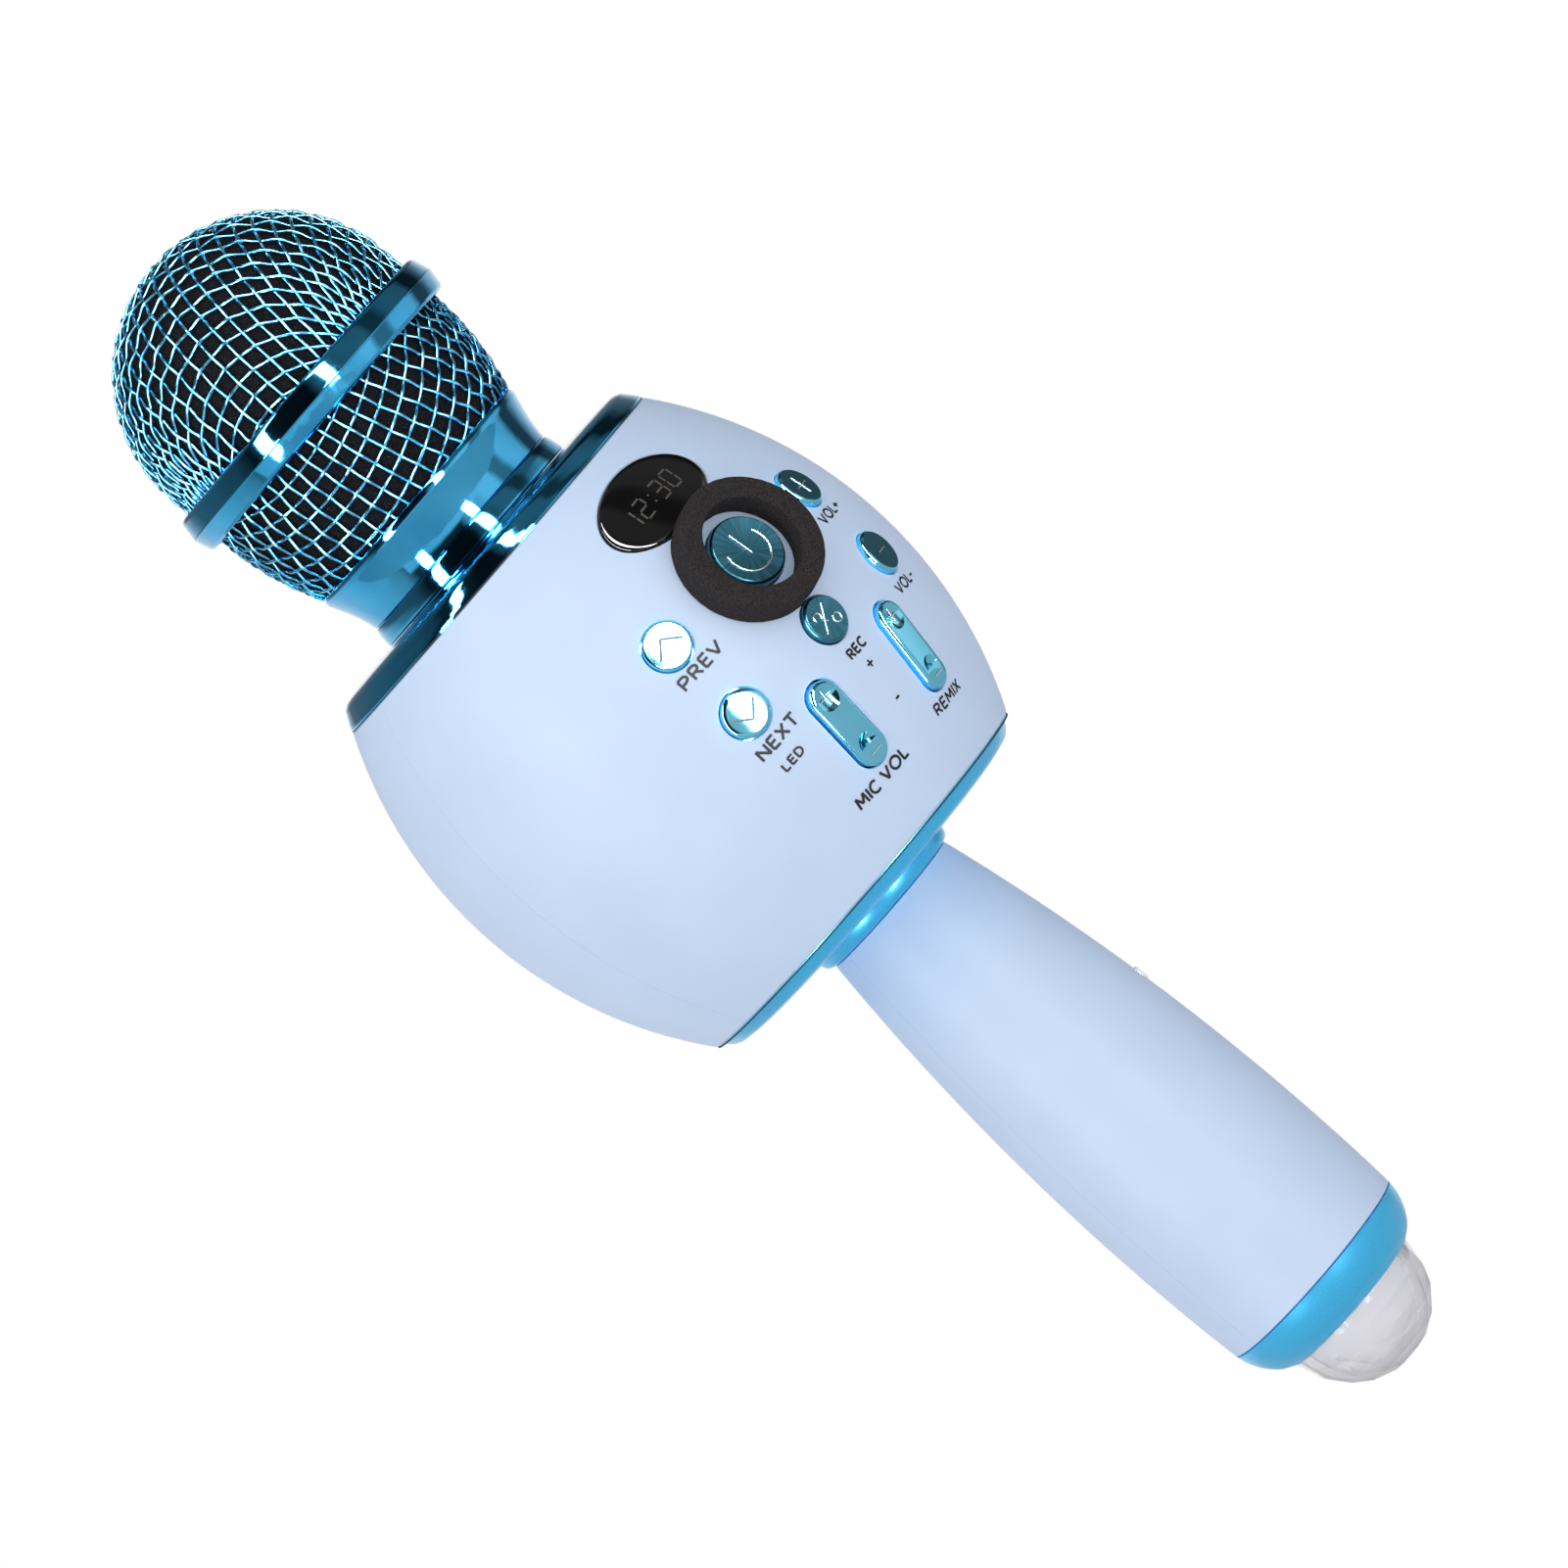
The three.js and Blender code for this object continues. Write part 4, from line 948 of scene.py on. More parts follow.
SLEEVE = Gloss("battery_sleeve", (0.03, 0.14, 0.42), "battery_sleeve", rough=0.25, wave=0.02)
RUBBER = Matt("dark_rubber", (0.016, 0.016, 0.018), "dark_rubber", rough=0.85, grain=0.25, depth=0.02)
LEAD_SLEEVE = Gloss("lead_sleeve", (0.35, 0.012, 0.018), "lead_sleeve", rough=0.35, wave=0.02)
PAPER = Paper()
CRYSTAL = Crystal()
LED_LENS = Gloss("led_lens", (0.85, 0.86, 0.88), "clear_crystal", rough=0.1, coat=0.8)


# ---------------------------------------------------------------- making pieces


class Bench:
    """Turns worked shapes into the microphone's pieces."""

    def __init__(self) -> None:
        """Starts with no pieces."""
        self.made: list[str] = []

    def piece(
        self,
        name: str,
        bm: Shape,
        finish: Finish,
        body: str,
        stands_for: Sequence[str] = (),
        sharp: float = 32.0,
        surface: Bulge | None = None,
    ) -> bpy.types.Object:
        """Makes a piece from a shape in millimetres.

        Args:
            name: The piece's name.
            bm: Its shape, which is used up.
            finish: How it is dressed.
            body: The frame body that it rides on.
            stands_for: Frame nodes that it replaces.
            sharp: Angle in degrees above which an edge stays sharp.
            surface: The bulge whose exact normals its outside takes.

        Returns:
            The piece.
        """
        outward(bm)
        bmesh.ops.triangulate(bm, faces=[face for face in bm.faces if len(face.verts) > 4])
        mesh = bpy.data.meshes.new(name)
        bm.to_mesh(mesh)
        bm.free()
        if surface:
            self.polish(mesh, surface, sharp)
        else:
            self.smooth(mesh, sharp)
        mesh.transform(Matrix.Scale(MM, 4))
        mesh.materials.append(finish.material)
        made = bpy.data.objects.new(name, mesh)
        bpy.context.scene.collection.objects.link(made)
        if stands_for:
            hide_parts(*stands_for)
        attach(made, body)
        self.made.append(name)
        log.info("%s: %d faces on %s", name, len(mesh.polygons), body)
        return made

    @staticmethod
    def smooth(mesh: bpy.types.Mesh, sharp: float) -> None:
        """Shades a mesh smooth except across edges sharper than an angle in degrees."""
        mesh.polygons.foreach_set("use_smooth", [True] * len(mesh.polygons))
        mesh.set_sharp_from_angle(angle=math.radians(sharp))

    def polish(self, mesh: bpy.types.Mesh, surface: Bulge, sharp: float) -> None:
        """Gives a mesh's outside the exact normals of the surface that it was cut from."""
        self.smooth(mesh, sharp)
        normals = [Vector(corner.vector) for corner in mesh.corner_normals]
        for polygon in mesh.polygons:
            centre = polygon.center
            on_surface = abs(math.hypot(centre.x, centre.y) - surface.at(centre.z)) < 0.06
            if on_surface and polygon.normal.dot(surface.normal(centre)) > 0.985:
                for loop in polygon.loop_indices:
                    normals[loop] = surface.normal(mesh.vertices[mesh.loops[loop].vertex_index].co)
        mesh.normals_split_custom_set(normals)

    def dress(self, finish: Finish, *nodes: str) -> None:
        """Gives frame nodes a finish.

        Args:
            finish: How they are dressed.
            nodes: The nodes' names.
        """
        for name in nodes:
            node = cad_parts[name]
            node.data.materials.clear()
            node.data.materials.append(finish.material)
            log.info("%s: dressed", name)


# ---------------------------------------------------------------- grille head


@dataclass
class Weave:
    """Crimped wires woven over a round surface.

    Attributes:
        pitch: Distance between wires.
        radius: Radius of a wire.
        per_cell: Points along a wire from one crossing to the next.
    """

    pitch: float = 3.1
    radius: float = 0.27
    per_cell: int = 6

    @property
    def crimp(self) -> float:
        """How far a wire stands out or in at a crossing."""
        return self.radius * 1.02

    @property
    def sink(self) -> float:
        """From the mesh's outside in to its middle surface."""
        return self.radius + self.crimp


@dataclass
class DomeWeave(Weave):
    """Square cloth of wire pressed over the dome, each cell's sides kept and its corners sheared.

    Attributes:
        turn: Angle round the axis of the wire that runs straight down the side.
    """

    turn: float = -47.0

    def __post_init__(self) -> None:
        """Takes the dome's size from the frame."""
        self.outside = high("grille_dome").x - self.sink
        self.centre = LEVELS.dome_top - high("grille_dome").x
        self.foot = (LEVELS.band_foot + LEVELS.band_top) / 2 + 0.4

    def to_surface(self, point: Vector) -> Vector:
        """Moves a point straight onto the mesh's middle surface."""
        centre = Vector((0, 0, min(point.z, self.centre)))
        return centre + (point - centre).normalized() * self.outside

    def normal(self, point: Vector) -> Vector:
        """Outward direction at a point."""
        return (point - Vector((0, 0, min(point.z, self.centre)))).normalized()

    def corner(self, a: Vector, b: Vector, back: Vector) -> Vector:
        """The far corner of a cell.

        Args:
            a: One side corner.
            b: The other side corner.
            back: The near corner.

        Returns:
            The point on the surface one pitch from both side corners.
        """
        point = np.array(self.to_surface(a + b - back))
        first, second = np.array(a), np.array(b)
        for _ in range(12):
            normal = np.array(self.normal(Vector(point)))
            base = np.array(self.to_surface(Vector(point)))
            misses = [
                (point - first) @ (point - first) - self.pitch**2,
                (point - second) @ (point - second) - self.pitch**2,
                (point - base) @ normal,
            ]
            rows = np.array([2 * (point - first), 2 * (point - second), normal])
            point = point - np.linalg.solve(rows, misses)
        return Vector(point)

    def crossings(self) -> dict[tuple[int, int], Vector]:
        """Places where the wires cross, from the top of the dome down to the band."""
        arc = self.pitch / self.outside
        quarter = math.pi / 2 / arc
        count = int(quarter + (self.centre - self.foot) / self.pitch) + 2

        def down(i: int, out: Vector) -> Vector:
            """A point on a straight wire, that many cells from the top."""
            if i <= quarter:
                return Vector((0, 0, self.centre)) + self.outside * (
                    out * math.sin(i * arc) + Vector((0, 0, math.cos(i * arc)))
                )
            return out * self.outside + Vector((0, 0, self.centre - (i - quarter) * self.pitch))

        quadrant: dict[tuple[int, int], Vector] = {}
        for i in range(count):
            quadrant[i, 0] = down(i, Vector((1, 0, 0)))
            quadrant[0, i] = down(i, Vector((0, 1, 0)))
        for i in range(1, count):
            for j in range(1, count):
                around = [(i, j - 1), (i - 1, j), (i - 1, j - 1)]
                if all(key in quadrant and quadrant[key].z > self.foot - self.pitch for key in around):
                    quadrant[i, j] = self.corner(*(quadrant[key] for key in around))
        spin = Matrix.Rotation(math.radians(self.turn - 90), 3, "Z")
        return {
            (si * i, sj * j): spin @ Vector((si * place.x, sj * place.y, place.z))
            for (i, j), place in quadrant.items()
            for si in (1, -1)
            for sj in (1, -1)
        }

    def routes(self) -> list[list[Vector]]:
        """The wires' centre lines."""
        crossings = self.crossings()
        reach = max(i for i, _ in crossings)
        routes = []
        for family in (0, 1):
            for line in range(-reach, reach + 1):
                keys = [(i, line) if family == 0 else (line, i) for i in range(-reach, reach + 1)]
                keys = [key for key in keys if key in crossings]
                routes.append(self.wire([(key, crossings[key]) for key in keys], family))
        return [route for route in routes if len(route) > self.per_cell // 2]

    def wire(self, stops: list[tuple[tuple[int, int], Vector]], family: int) -> list[Vector]:
        """One wire's centre line through its crossings, cut off at the band."""
        route = []
        for (key, here), (_, there) in zip(stops, stops[1:]):
            for step in range(self.per_cell):
                share = step / self.per_cell
                point = self.to_surface(here.lerp(there, share))
                if point.z < self.foot:
                    continue
                side = -1 if (key[1 - family] + family) % 2 else 1
                out = side * self.crimp * math.cos(math.pi * (key[family] + share))
                route.append(point + self.normal(point) * out)
        return route


@dataclass
class SkirtWeave(Weave):
    """Square cloth of wire rolled into the skirt, whose cells turn slowly round it.

    Attributes:
        turn: Angle round the axis where a wire runs straight up the side.
        share: Turn of the flat cloth for each turn round the axis.
    """

    turn: float = -61.0
    share: float = 0.5

    def __post_init__(self) -> None:
        """Takes the skirt's size from the frame and measures along its side."""
        top = high("grille_skirt").x
        self.side = Bulge(LEVELS.band_foot, top, LEVELS.flare_top, high("neck_flare").x)
        self.foot = LEVELS.flare_top - 0.1
        self.heights = np.linspace(self.foot, (LEVELS.band_foot + LEVELS.band_top) / 2 - 0.4, 60)
        radii = [self.radius_at(z) for z in self.heights]
        steps = np.hypot(np.diff(self.heights), np.diff(radii))
        self.along = np.concatenate([[0], np.cumsum(steps)])
        self.inner = radii[0] / self.share
        self.outer = self.inner + self.along[-1]

    def radius_at(self, height: float) -> float:
        """Radius of the mesh's middle surface at a height."""
        return self.side.at(min(height, LEVELS.band_foot)) - self.sink

    def point(self, x: float, y: float, out: float) -> Vector:
        """The place in the rolled cloth of a point of the flat one, moved out from the surface."""
        reach = math.hypot(x, y)
        height = float(np.interp(reach - self.inner, self.along, self.heights))
        angle = math.atan2(y, x) / self.share + math.radians(self.turn - 90)
        radius = self.radius_at(height) + out
        return Vector((radius * math.cos(angle), radius * math.sin(angle), height))

    def routes(self) -> list[list[Vector]]:
        """The wires' centre lines."""
        routes = []
        for line in range(int(self.outer / self.pitch) + 1):
            offset = (line + 0.5) * self.pitch
            if offset >= self.outer:
                continue
            end = math.sqrt(self.outer**2 - offset**2)
            start = math.sqrt(self.inner**2 - offset**2) if offset < self.inner else 0.0
            spans = [(start, end), (-end, -start)] if start else [(-end, end)]
            for near, far in spans:
                for family in (0, 1):
                    routes.append(self.wire(offset, near, far, line, family))
        return [route for route in routes if len(route) > 2]

    def wire(self, offset: float, near: float, far: float, line: int, family: int) -> list[Vector]:
        """One wire's centre line between two places along it."""
        count = max(2, int((far - near) / self.pitch * self.per_cell))
        route = []
        for step in range(count + 1):
            along = near + (far - near) * step / count
            side = -1 if (line + family) % 2 else 1
            out = side * self.crimp * math.cos(math.pi * (along / self.pitch - 0.5))
            x, y = (along, offset) if family == 0 else (offset, along)
            route.append(self.point(x, y, out))
        return route


@dataclass
class GrilleHead:
    """The woven grille with its foam, its band and the chromed flare below it."""

    dome: DomeWeave = field(default_factory=DomeWeave)
    skirt: SkirtWeave = field(default_factory=SkirtWeave)
    foam_wall: float = 3.0

    def make(self, bench: Bench) -> None:
        """Makes the head's pieces."""
        for part, weave in (("dome", self.dome), ("skirt", self.skirt)):
            wires = tube(weave.routes(), weave.radius)
            bench.piece(f"grille_{part}_mesh", wires, WIRE, "grille_head", [f"grille_{part}"], sharp=60)
        bench.piece("band", self.band(), CHROME, "grille_head", ["grille_band"])
        bench.piece("flare", self.flare(), CHROME, "grille_head", ["neck_flare"])
        foam = bench.piece("foam_liner", self.liner(), LINER_FOAM, "grille_head", ["grille_foam"])

    @staticmethod
    def band() -> Shape:
        """The two-sided band with a fine ridge round its middle."""
        bottom, top = LEVELS.band_foot, LEVELS.band_top
        middle = (bottom + top) / 2
        ridge, bore = high("grille_band").x, high("grille_dome").x + GAP
        edge = ridge - 0.72
        return turned(
            filleted(
                [
                    (bore, bottom + 0.3),
                    (edge - 0.5, bottom + 0.25, 0.15),
                    (edge, bottom + 0.7, 0.3),
                    (ridge - 0.1, middle - 0.2, 0.12),
                    (ridge, middle, 0.12),
                    (ridge - 0.1, middle + 0.2, 0.12),
                    (edge, top - 0.45, 0.35),
                    (edge - 0.5, top, 0.2),
                    (bore, top),
                ]
            ),
            192,
        )

    @staticmethod
    def flare() -> Shape:
        """The trumpet under the skirt, with a rolled rim."""
        foot, top = LEVELS.flare_foot + 0.05, LEVELS.flare_top
        wide = high("neck_flare").x
        narrow = wide - 2.24
        bore = 18.5
        steps = 14
        shares = [i / steps for i in range(1, steps + 1)]
        curve = [(narrow + (wide - 0.12 - narrow) * t**1.5, foot + (top - 1.5 - foot) * t) for t in shares]
        roll = ((0.02, -1.2), (0.0, -0.9), (0.04, -0.5), (0.2, -0.12), (0.5, 0.1))
        rim = [(wide - inward, top + rise) for inward, rise in roll]
        return turned(
            [
                (bore, foot),
                (narrow - 0.25, foot),
                (narrow, foot + 0.2),
                *curve,
                *rim,
                (wide - 2.6, top + 0.1),
                (bore, top - 1.5),
            ],
            160,
        )

    def liner(self) -> Shape:
        """The foam inside the mesh, slightly uneven."""
        dome, skirt = self.dome, self.skirt
        radius = dome.outside - dome.sink - 0.05
        cap = swept((0.0, dome.centre), (radius, radius), 90, 0, 28)[1:]
        side = skirt.side.profile(LEVELS.band_foot, LEVELS.flare_top + 0.12, 10)
        outer = [(0.0, dome.centre + radius), *cap, *((r - 2 * skirt.sink - 0.08, z) for r, z in side)]
        hollow, wall = radius - self.foam_wall, self.foam_wall
        inner = [(r - wall, z) for r, z in reversed(side)]
        inner += swept((0.0, dome.centre), (hollow, hollow), 0, 82.5, 11)
        bm = turned([*outer, *inner, (0.0, dome.centre + hollow)], 120)
        for vert in bm.verts:
            vert.co *= 1 - 0.004 * abs(noise.noise(vert.co * 0.9))
        return bm


# ---------------------------------------------------------------- neck and plates


@dataclass
class NeckAndPlates:
    """The chromed neck and top plate, and the lacquered bottom plate and collar."""

    sides: int = 192
    # Dark rubber rings at the barrel's ends are painted shade: they stand in for the shadow in the gaps
    # between the shells and the plates.
    shade_ring_proud: float = 0.03
    shade_ring_width: float = 1.5

    def make(self, bench: Bench) -> None:
        """Makes the turned pieces."""
        bench.piece("neck", self.neck(), CHROME, "housing", ["neck_ring"])
        bench.piece("shoulder_plate", self.shoulder(), CHROME, "housing", ["top_plate"])
        bench.piece("base_plate", self.base(), PAINT, "housing", ["bottom_plate"])
        bench.piece("collar", self.collar(), PAINT, "housing", ["handle_collar"])
        # Painted shade: dark rings fill the gaps at the shells' ends, where shadow falls.
        rim = BARREL.far_radius + self.shade_ring_proud
        bore = rim - self.shade_ring_width
        for name, level, below, above in (
            ("lower_shade_ring", LEVELS.body_foot, 0.08, 0.14),
            ("upper_shade_ring", LEVELS.body_top, 0.1, 0.09),
        ):
            foot, top = level - below, level + above
            ring = turned([(bore, foot), (rim, foot), (rim, top), (bore, top)], self.sides)
            bench.piece(name, ring, RUBBER, "housing")

    def neck(self) -> Shape:
        """The ring under the flare, on the post that the head screws onto."""
        foot, top, radius = LEVELS.neck_foot + 0.1, LEVELS.flare_foot, high("neck_ring").x
        bore, post = POST
        return turned(
            filleted(
                [
                    (bore, LEVELS.body_top - 2),
                    (post, LEVELS.body_top - 2),
                    (post, foot),
                    (radius + 0.05, foot, 0.15),
                    (radius + 0.12, foot + 0.5, 0.2),
                    (radius - 0.15, top - 1.0, 0.5),
                    (radius - 0.45, top, 0.3),
                    (post, top),
                    (post, top + 7.5),
                    (bore, top + 7.5),
                ]
            ),
            self.sides,
        )

    def shoulder(self) -> Shape:
        """The crowned plate that closes the barrel's top."""
        top, foot, rim = LEVELS.neck_foot, LEVELS.body_top, BARREL.far_radius
        crown = ((8.6, 0.12), (4.6, 0.3), (2.8, 0.55), (1.9, 1.05), (1.5, 1.45), (0.85, 2.45), (0.25, 3.35))
        edge = [*((rim - inward, top - fall) for inward, fall in crown), (rim + 0.02, foot + 0.35)]
        return turned(
            filleted(
                [
                    (16.0, top - 2.5),
                    (16.0, top),
                    (21.3, top),
                    *[(r, z, 0.5) for r, z in edge],
                    (rim + 0.02, foot + 0.12, 0.1),
                    (rim - 0.9, foot + 0.1),
                    (rim - 2.5, foot - 2.5),
                    (rim - 5.0, foot - 2.5),
                    (rim - 5.0, top - 2.5),
                ]
            ),
            self.sides,
        )

    def base(self) -> Shape:
        """The plate that closes the barrel's foot, with its two screw wells."""
        foot, top, rim = LEVELS.plate_foot, LEVELS.body_foot, BARREL.far_radius
        crown = ((5.3, 0.0), (2.9, 0.45), (2.1, 0.95), (1.6, 1.5), (1.2, 1.95), (0.55, 2.9), (0.1, 3.65))
        edge = [(rim - inward, foot + rise) for inward, rise in crown]
        plate = turned(
            filleted(
                [
                    (11.9, foot + 0.8),
                    (15.1, foot + 0.8),
                    (15.1, foot, 0.15),
                    *[(r, z, 0.15) for r, z in edge],
                    (rim - 0.1, top - 0.1, 0.05),
                    (rim - 0.9, top - 0.05),
                    (rim - 2.5, top + 2.5),
                    (rim - 5.0, top + 2.5),
                    (rim - 5.0, foot + 2.5),
                    (11.9, foot + 2.5),
                ]
            ),
            self.sides,
        )
        wells = []
        for side in (-1, 1):
            well = turned([(0, -1), (2.95, -1), (2.7, 0.2), (2.7, 1.5), (1.5, 1.5), (1.5, 4), (0, 4)], 40)
            wells.append(placed(well, Matrix.Translation((0, side * CASE_SCREW_REACH, foot))))
        return carved(plate, *wells, solver="FAST")

    def collar(self) -> Shape:
        """The rounded ring between the handle and the plate."""
        foot, top, radius = LEVELS.handle_top + 0.12, LEVELS.plate_foot + 0.5, high("handle_collar").x
        return turned(
            filleted(
                [
                    (11.9, foot),
                    (radius - 1.5, foot, 0.3),
                    (radius - 0.45, foot + 0.5, 0.6),
                    (radius - 0.05, foot + 1.9, 0.6),
                    (radius, top, 0.15),
                    (11.9, top),
                ]
            ),
            self.sides,
        )


# ---------------------------------------------------------------- panel


class Mark(Enum):
    """The raised mark on a key."""

    POWER = "power"
    UP = "up"
    DOWN = "down"
    PLUS = "plus"
    MINUS = "minus"
    RECORD = "record"


def arc_points(radius: float, start: float, end: float, height: float, steps: int = 28) -> list[Vector]:
    """Points round an arc in the plane, between two angles in degrees."""
    angles = [math.radians(start + (end - start) * i / steps) for i in range(steps + 1)]
    return [Vector((radius * math.cos(a), radius * math.sin(a), height)) for a in angles]


def mark_routes(mark: Mark, height: float) -> list[list[Vector]]:
    """Centre lines of a mark's raised lines.

    Args:
        mark: Which mark.
        height: Height of the key's face.

    Returns:
        The lines.
    """

    def line(*points: Point) -> list[Vector]:
        """A line through flat points, at the face."""
        return [Vector((x, y, height)) for x, y in points]

    lines = {
        Mark.POWER: [arc_points(3.9, 24, -204, height), line((0, 3.7), (0, -0.9))],
        Mark.UP: [line((-2.6, -1.0), (0, 1.45), (2.6, -1.0))],
        Mark.DOWN: [line((-2.6, 1.0), (0, -1.45), (2.6, 1.0))],
        Mark.PLUS: [line((-1.9, 0), (1.9, 0)), line((0, -1.9), (0, 1.9))],
        Mark.MINUS: [line((-1.4, 0), (1.4, 0))],
        Mark.RECORD: [
            line((-2.2, -1.9), (1.2, 2.2)),
            [point + Vector((1.5, -1.2, 0)) for point in arc_points(0.8, 0, 350, height)],
            [point + Vector((-1.3, 1.1, 0)) for point in arc_points(0.75, -60, 200, height, 14)],
            line((-0.9, 0.3), (-0.2, -0.5)),
        ],
    }
    return [run for route in lines[mark] for run in strokes(route)]


@dataclass(frozen=True)
class Key:
    """A round press key.

    Attributes:
        name: Its name in the frame, without what follows it.
        angle: Degrees from the panel's middle.
        share: Height as a share of the barrel's half height.
        radius: Its radius.
        proud: How far it stands out of the panel.
        mark: What is raised on it.
        dish: How far its face is hollowed, or crowned when negative.
    """

    name: str
    angle: float
    share: float
    radius: float
    proud: float
    mark: Mark
    dish: float = 0.0

    @property
    def seat(self) -> Seat:
        """Where it sits."""
        return Seat(self.angle, self.share)

    def make(self, bench: Bench) -> None:
        """Makes the key with its mark."""
        radius, proud, edge, rings = self.radius, self.proud, 0.4, 8
        face, flange = radius - edge, radius + 0.9
        crown = [(face * i / rings, proud - self.dish * (1 - (i / rings) ** 2)) for i in range(rings + 1)]
        foot = low_along(f"{self.name}_button", self.seat)
        side = [(radius - 0.22, proud - edge * 0.3), (radius - 0.06, proud - edge * 0.75)]
        side += [(radius, proud - edge - 0.12), (radius, foot + 0.8), (flange, foot + 0.8), (flange, foot)]
        cap = mapped(turned([*crown, *side, (0, foot)], 72), 2 * radius)
        finish = SPUN if self.mark in (Mark.POWER, Mark.RECORD) else KEY_CHROME
        body = f"{self.name}_cap"
        seat = self.seat.matrix()
        bench.piece(f"{self.name}_key", placed(cap, seat), finish, body, [f"{self.name}_button"])
        line = 0.16 if self.mark in (Mark.PLUS, Mark.MINUS, Mark.RECORD) else 0.24
        lines = tube(mark_routes(self.mark, proud - self.dish * 0.6), line)
        ridge = FROST if self.mark in (Mark.UP, Mark.DOWN) else ETCH
        bench.piece(f"{self.name}_mark", placed(lines, seat), ridge, body, sharp=60)


def low_along(node: str, seat: Seat) -> float:
    """Lowest place of a frame node along a seat's outward axis, in millimetres."""
    inverse = seat.matrix().inverted()
    return min((inverse @ (vert.co / MM)).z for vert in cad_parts[node].data.vertices)


@dataclass(frozen=True)
class Rocker:
    """A long key that tips about a pin.

    Attributes:
        name: Its name in the frame, without what follows it.
        angle: Degrees from the panel's middle.
    """

    name: str
    angle: float
    share: float = -0.482
    length: float = 16.6
    width: float = 5.8
    proud: float = 0.8
    depth: float = 3.2

    @property
    def seat(self) -> Seat:
        """Where it sits."""
        return Seat(self.angle, self.share)

    def make(self, bench: Bench) -> None:
        """Makes the rocker with its web and its marks."""
        rider, seat = f"{self.name}_key", self.seat.matrix()
        key = placed(gathered(self.body(), self.web()), seat)
        marks = placed(tube(self.marks(), 0.17), seat)
        bench.piece(f"{self.name}_tip_key", key, KEY_CHROME, rider, [f"{self.name}_rocker"])
        bench.piece(f"{self.name}_marks", marks, ETCH, rider, sharp=60)

    @property
    def straight(self) -> float:
        """Length of the straight part between the round ends."""
        return self.length - self.width

    def body(self) -> Shape:
        """The long key with a round dish at its upper end and half a dish at its lower end."""
        half, top, end = self.width / 2, self.proud, self.straight / 2
        side = [(half - 0.4, top, 0.3), (half, top - 0.45, 0.3), (half, -self.depth), (0, -self.depth)]
        body = pill(turned(filleted([(0, top + 0.12), *side]), 72, half_step=True), self.straight)
        upper = ball(4.2, Matrix.Translation((0, end + 0.15, top + 3.55)) @ Matrix.Diagonal((0.95, 1, 1, 1)))
        lower = ball(2.6, Matrix.Translation((0, 0.9 - end, top + 1.9)))
        lower = carved(lower, slab((8, 4, 8), (0, 2.9 - end, top)), how=Cut.KEEP)
        return carved(body, upper, lower)

    def web(self) -> Shape:
        """The web under the key, with the hole for its pin."""
        bore, depth = 1.05, 4.6
        hole = turned([(0, -5), (bore, -5), (bore, 5), (0, 5)], 24)
        across = Matrix.Translation((0, 0, -depth)) @ Matrix.Rotation(math.pi / 2, 4, "Y")
        web = slab((self.width - 0.6, 4, 3.2), (0, 0, -self.depth - 1.6), 0.3)
        return carved(web, placed(hole, across))

    def marks(self) -> list[list[Vector]]:
        """Centre lines of the plus in the upper dish and the minus below."""
        end, size = self.straight / 2, 0.75
        plus = mark_routes(Mark.PLUS, self.proud - 0.42)
        plus = [[Vector((p.x * size, p.y * size + end + 0.15, p.z)) for p in line] for line in plus]
        return [*plus, [Vector((x, -end - 0.7, self.proud + 0.03)) for x in (-1.2, 1.2)]]


def ball(radius: float, place: Matrix) -> Shape:
    """A fine sphere, moved by a matrix."""
    bm = bmesh.new()
    bmesh.ops.create_uvsphere(bm, u_segments=64, v_segments=40, radius=radius)
    return placed(bm, place)


@dataclass(frozen=True)
class Label:
    """Printed words on the panel.

    Attributes:
        name: The piece's name.
        words: What is printed.
        angle: Degrees from the panel's middle.
        height: Height along the axis.
        cap: Height of a capital.
        width: Width of the line, or 0 for the letters' own.
        stroke: Width of the letters' lines.
    """

    name: str
    words: str
    angle: float
    height: float
    cap: float
    width: float
    stroke: float = 0.44

    def make(self, bench: Bench) -> None:
        """Prints the words on the barrel."""
        seat = Seat(self.angle, (self.height - BODY_MIDDLE) / HALF_BODY)
        words = sliced(lettering(self.words, self.cap, self.width, self.stroke), 0.8)
        bmesh.ops.translate(words, vec=(0, 0, 0.07), verts=words.verts)
        bench.piece(self.name, placed(lying(words, seat), seat.matrix()), INK, "housing", sharp=60)


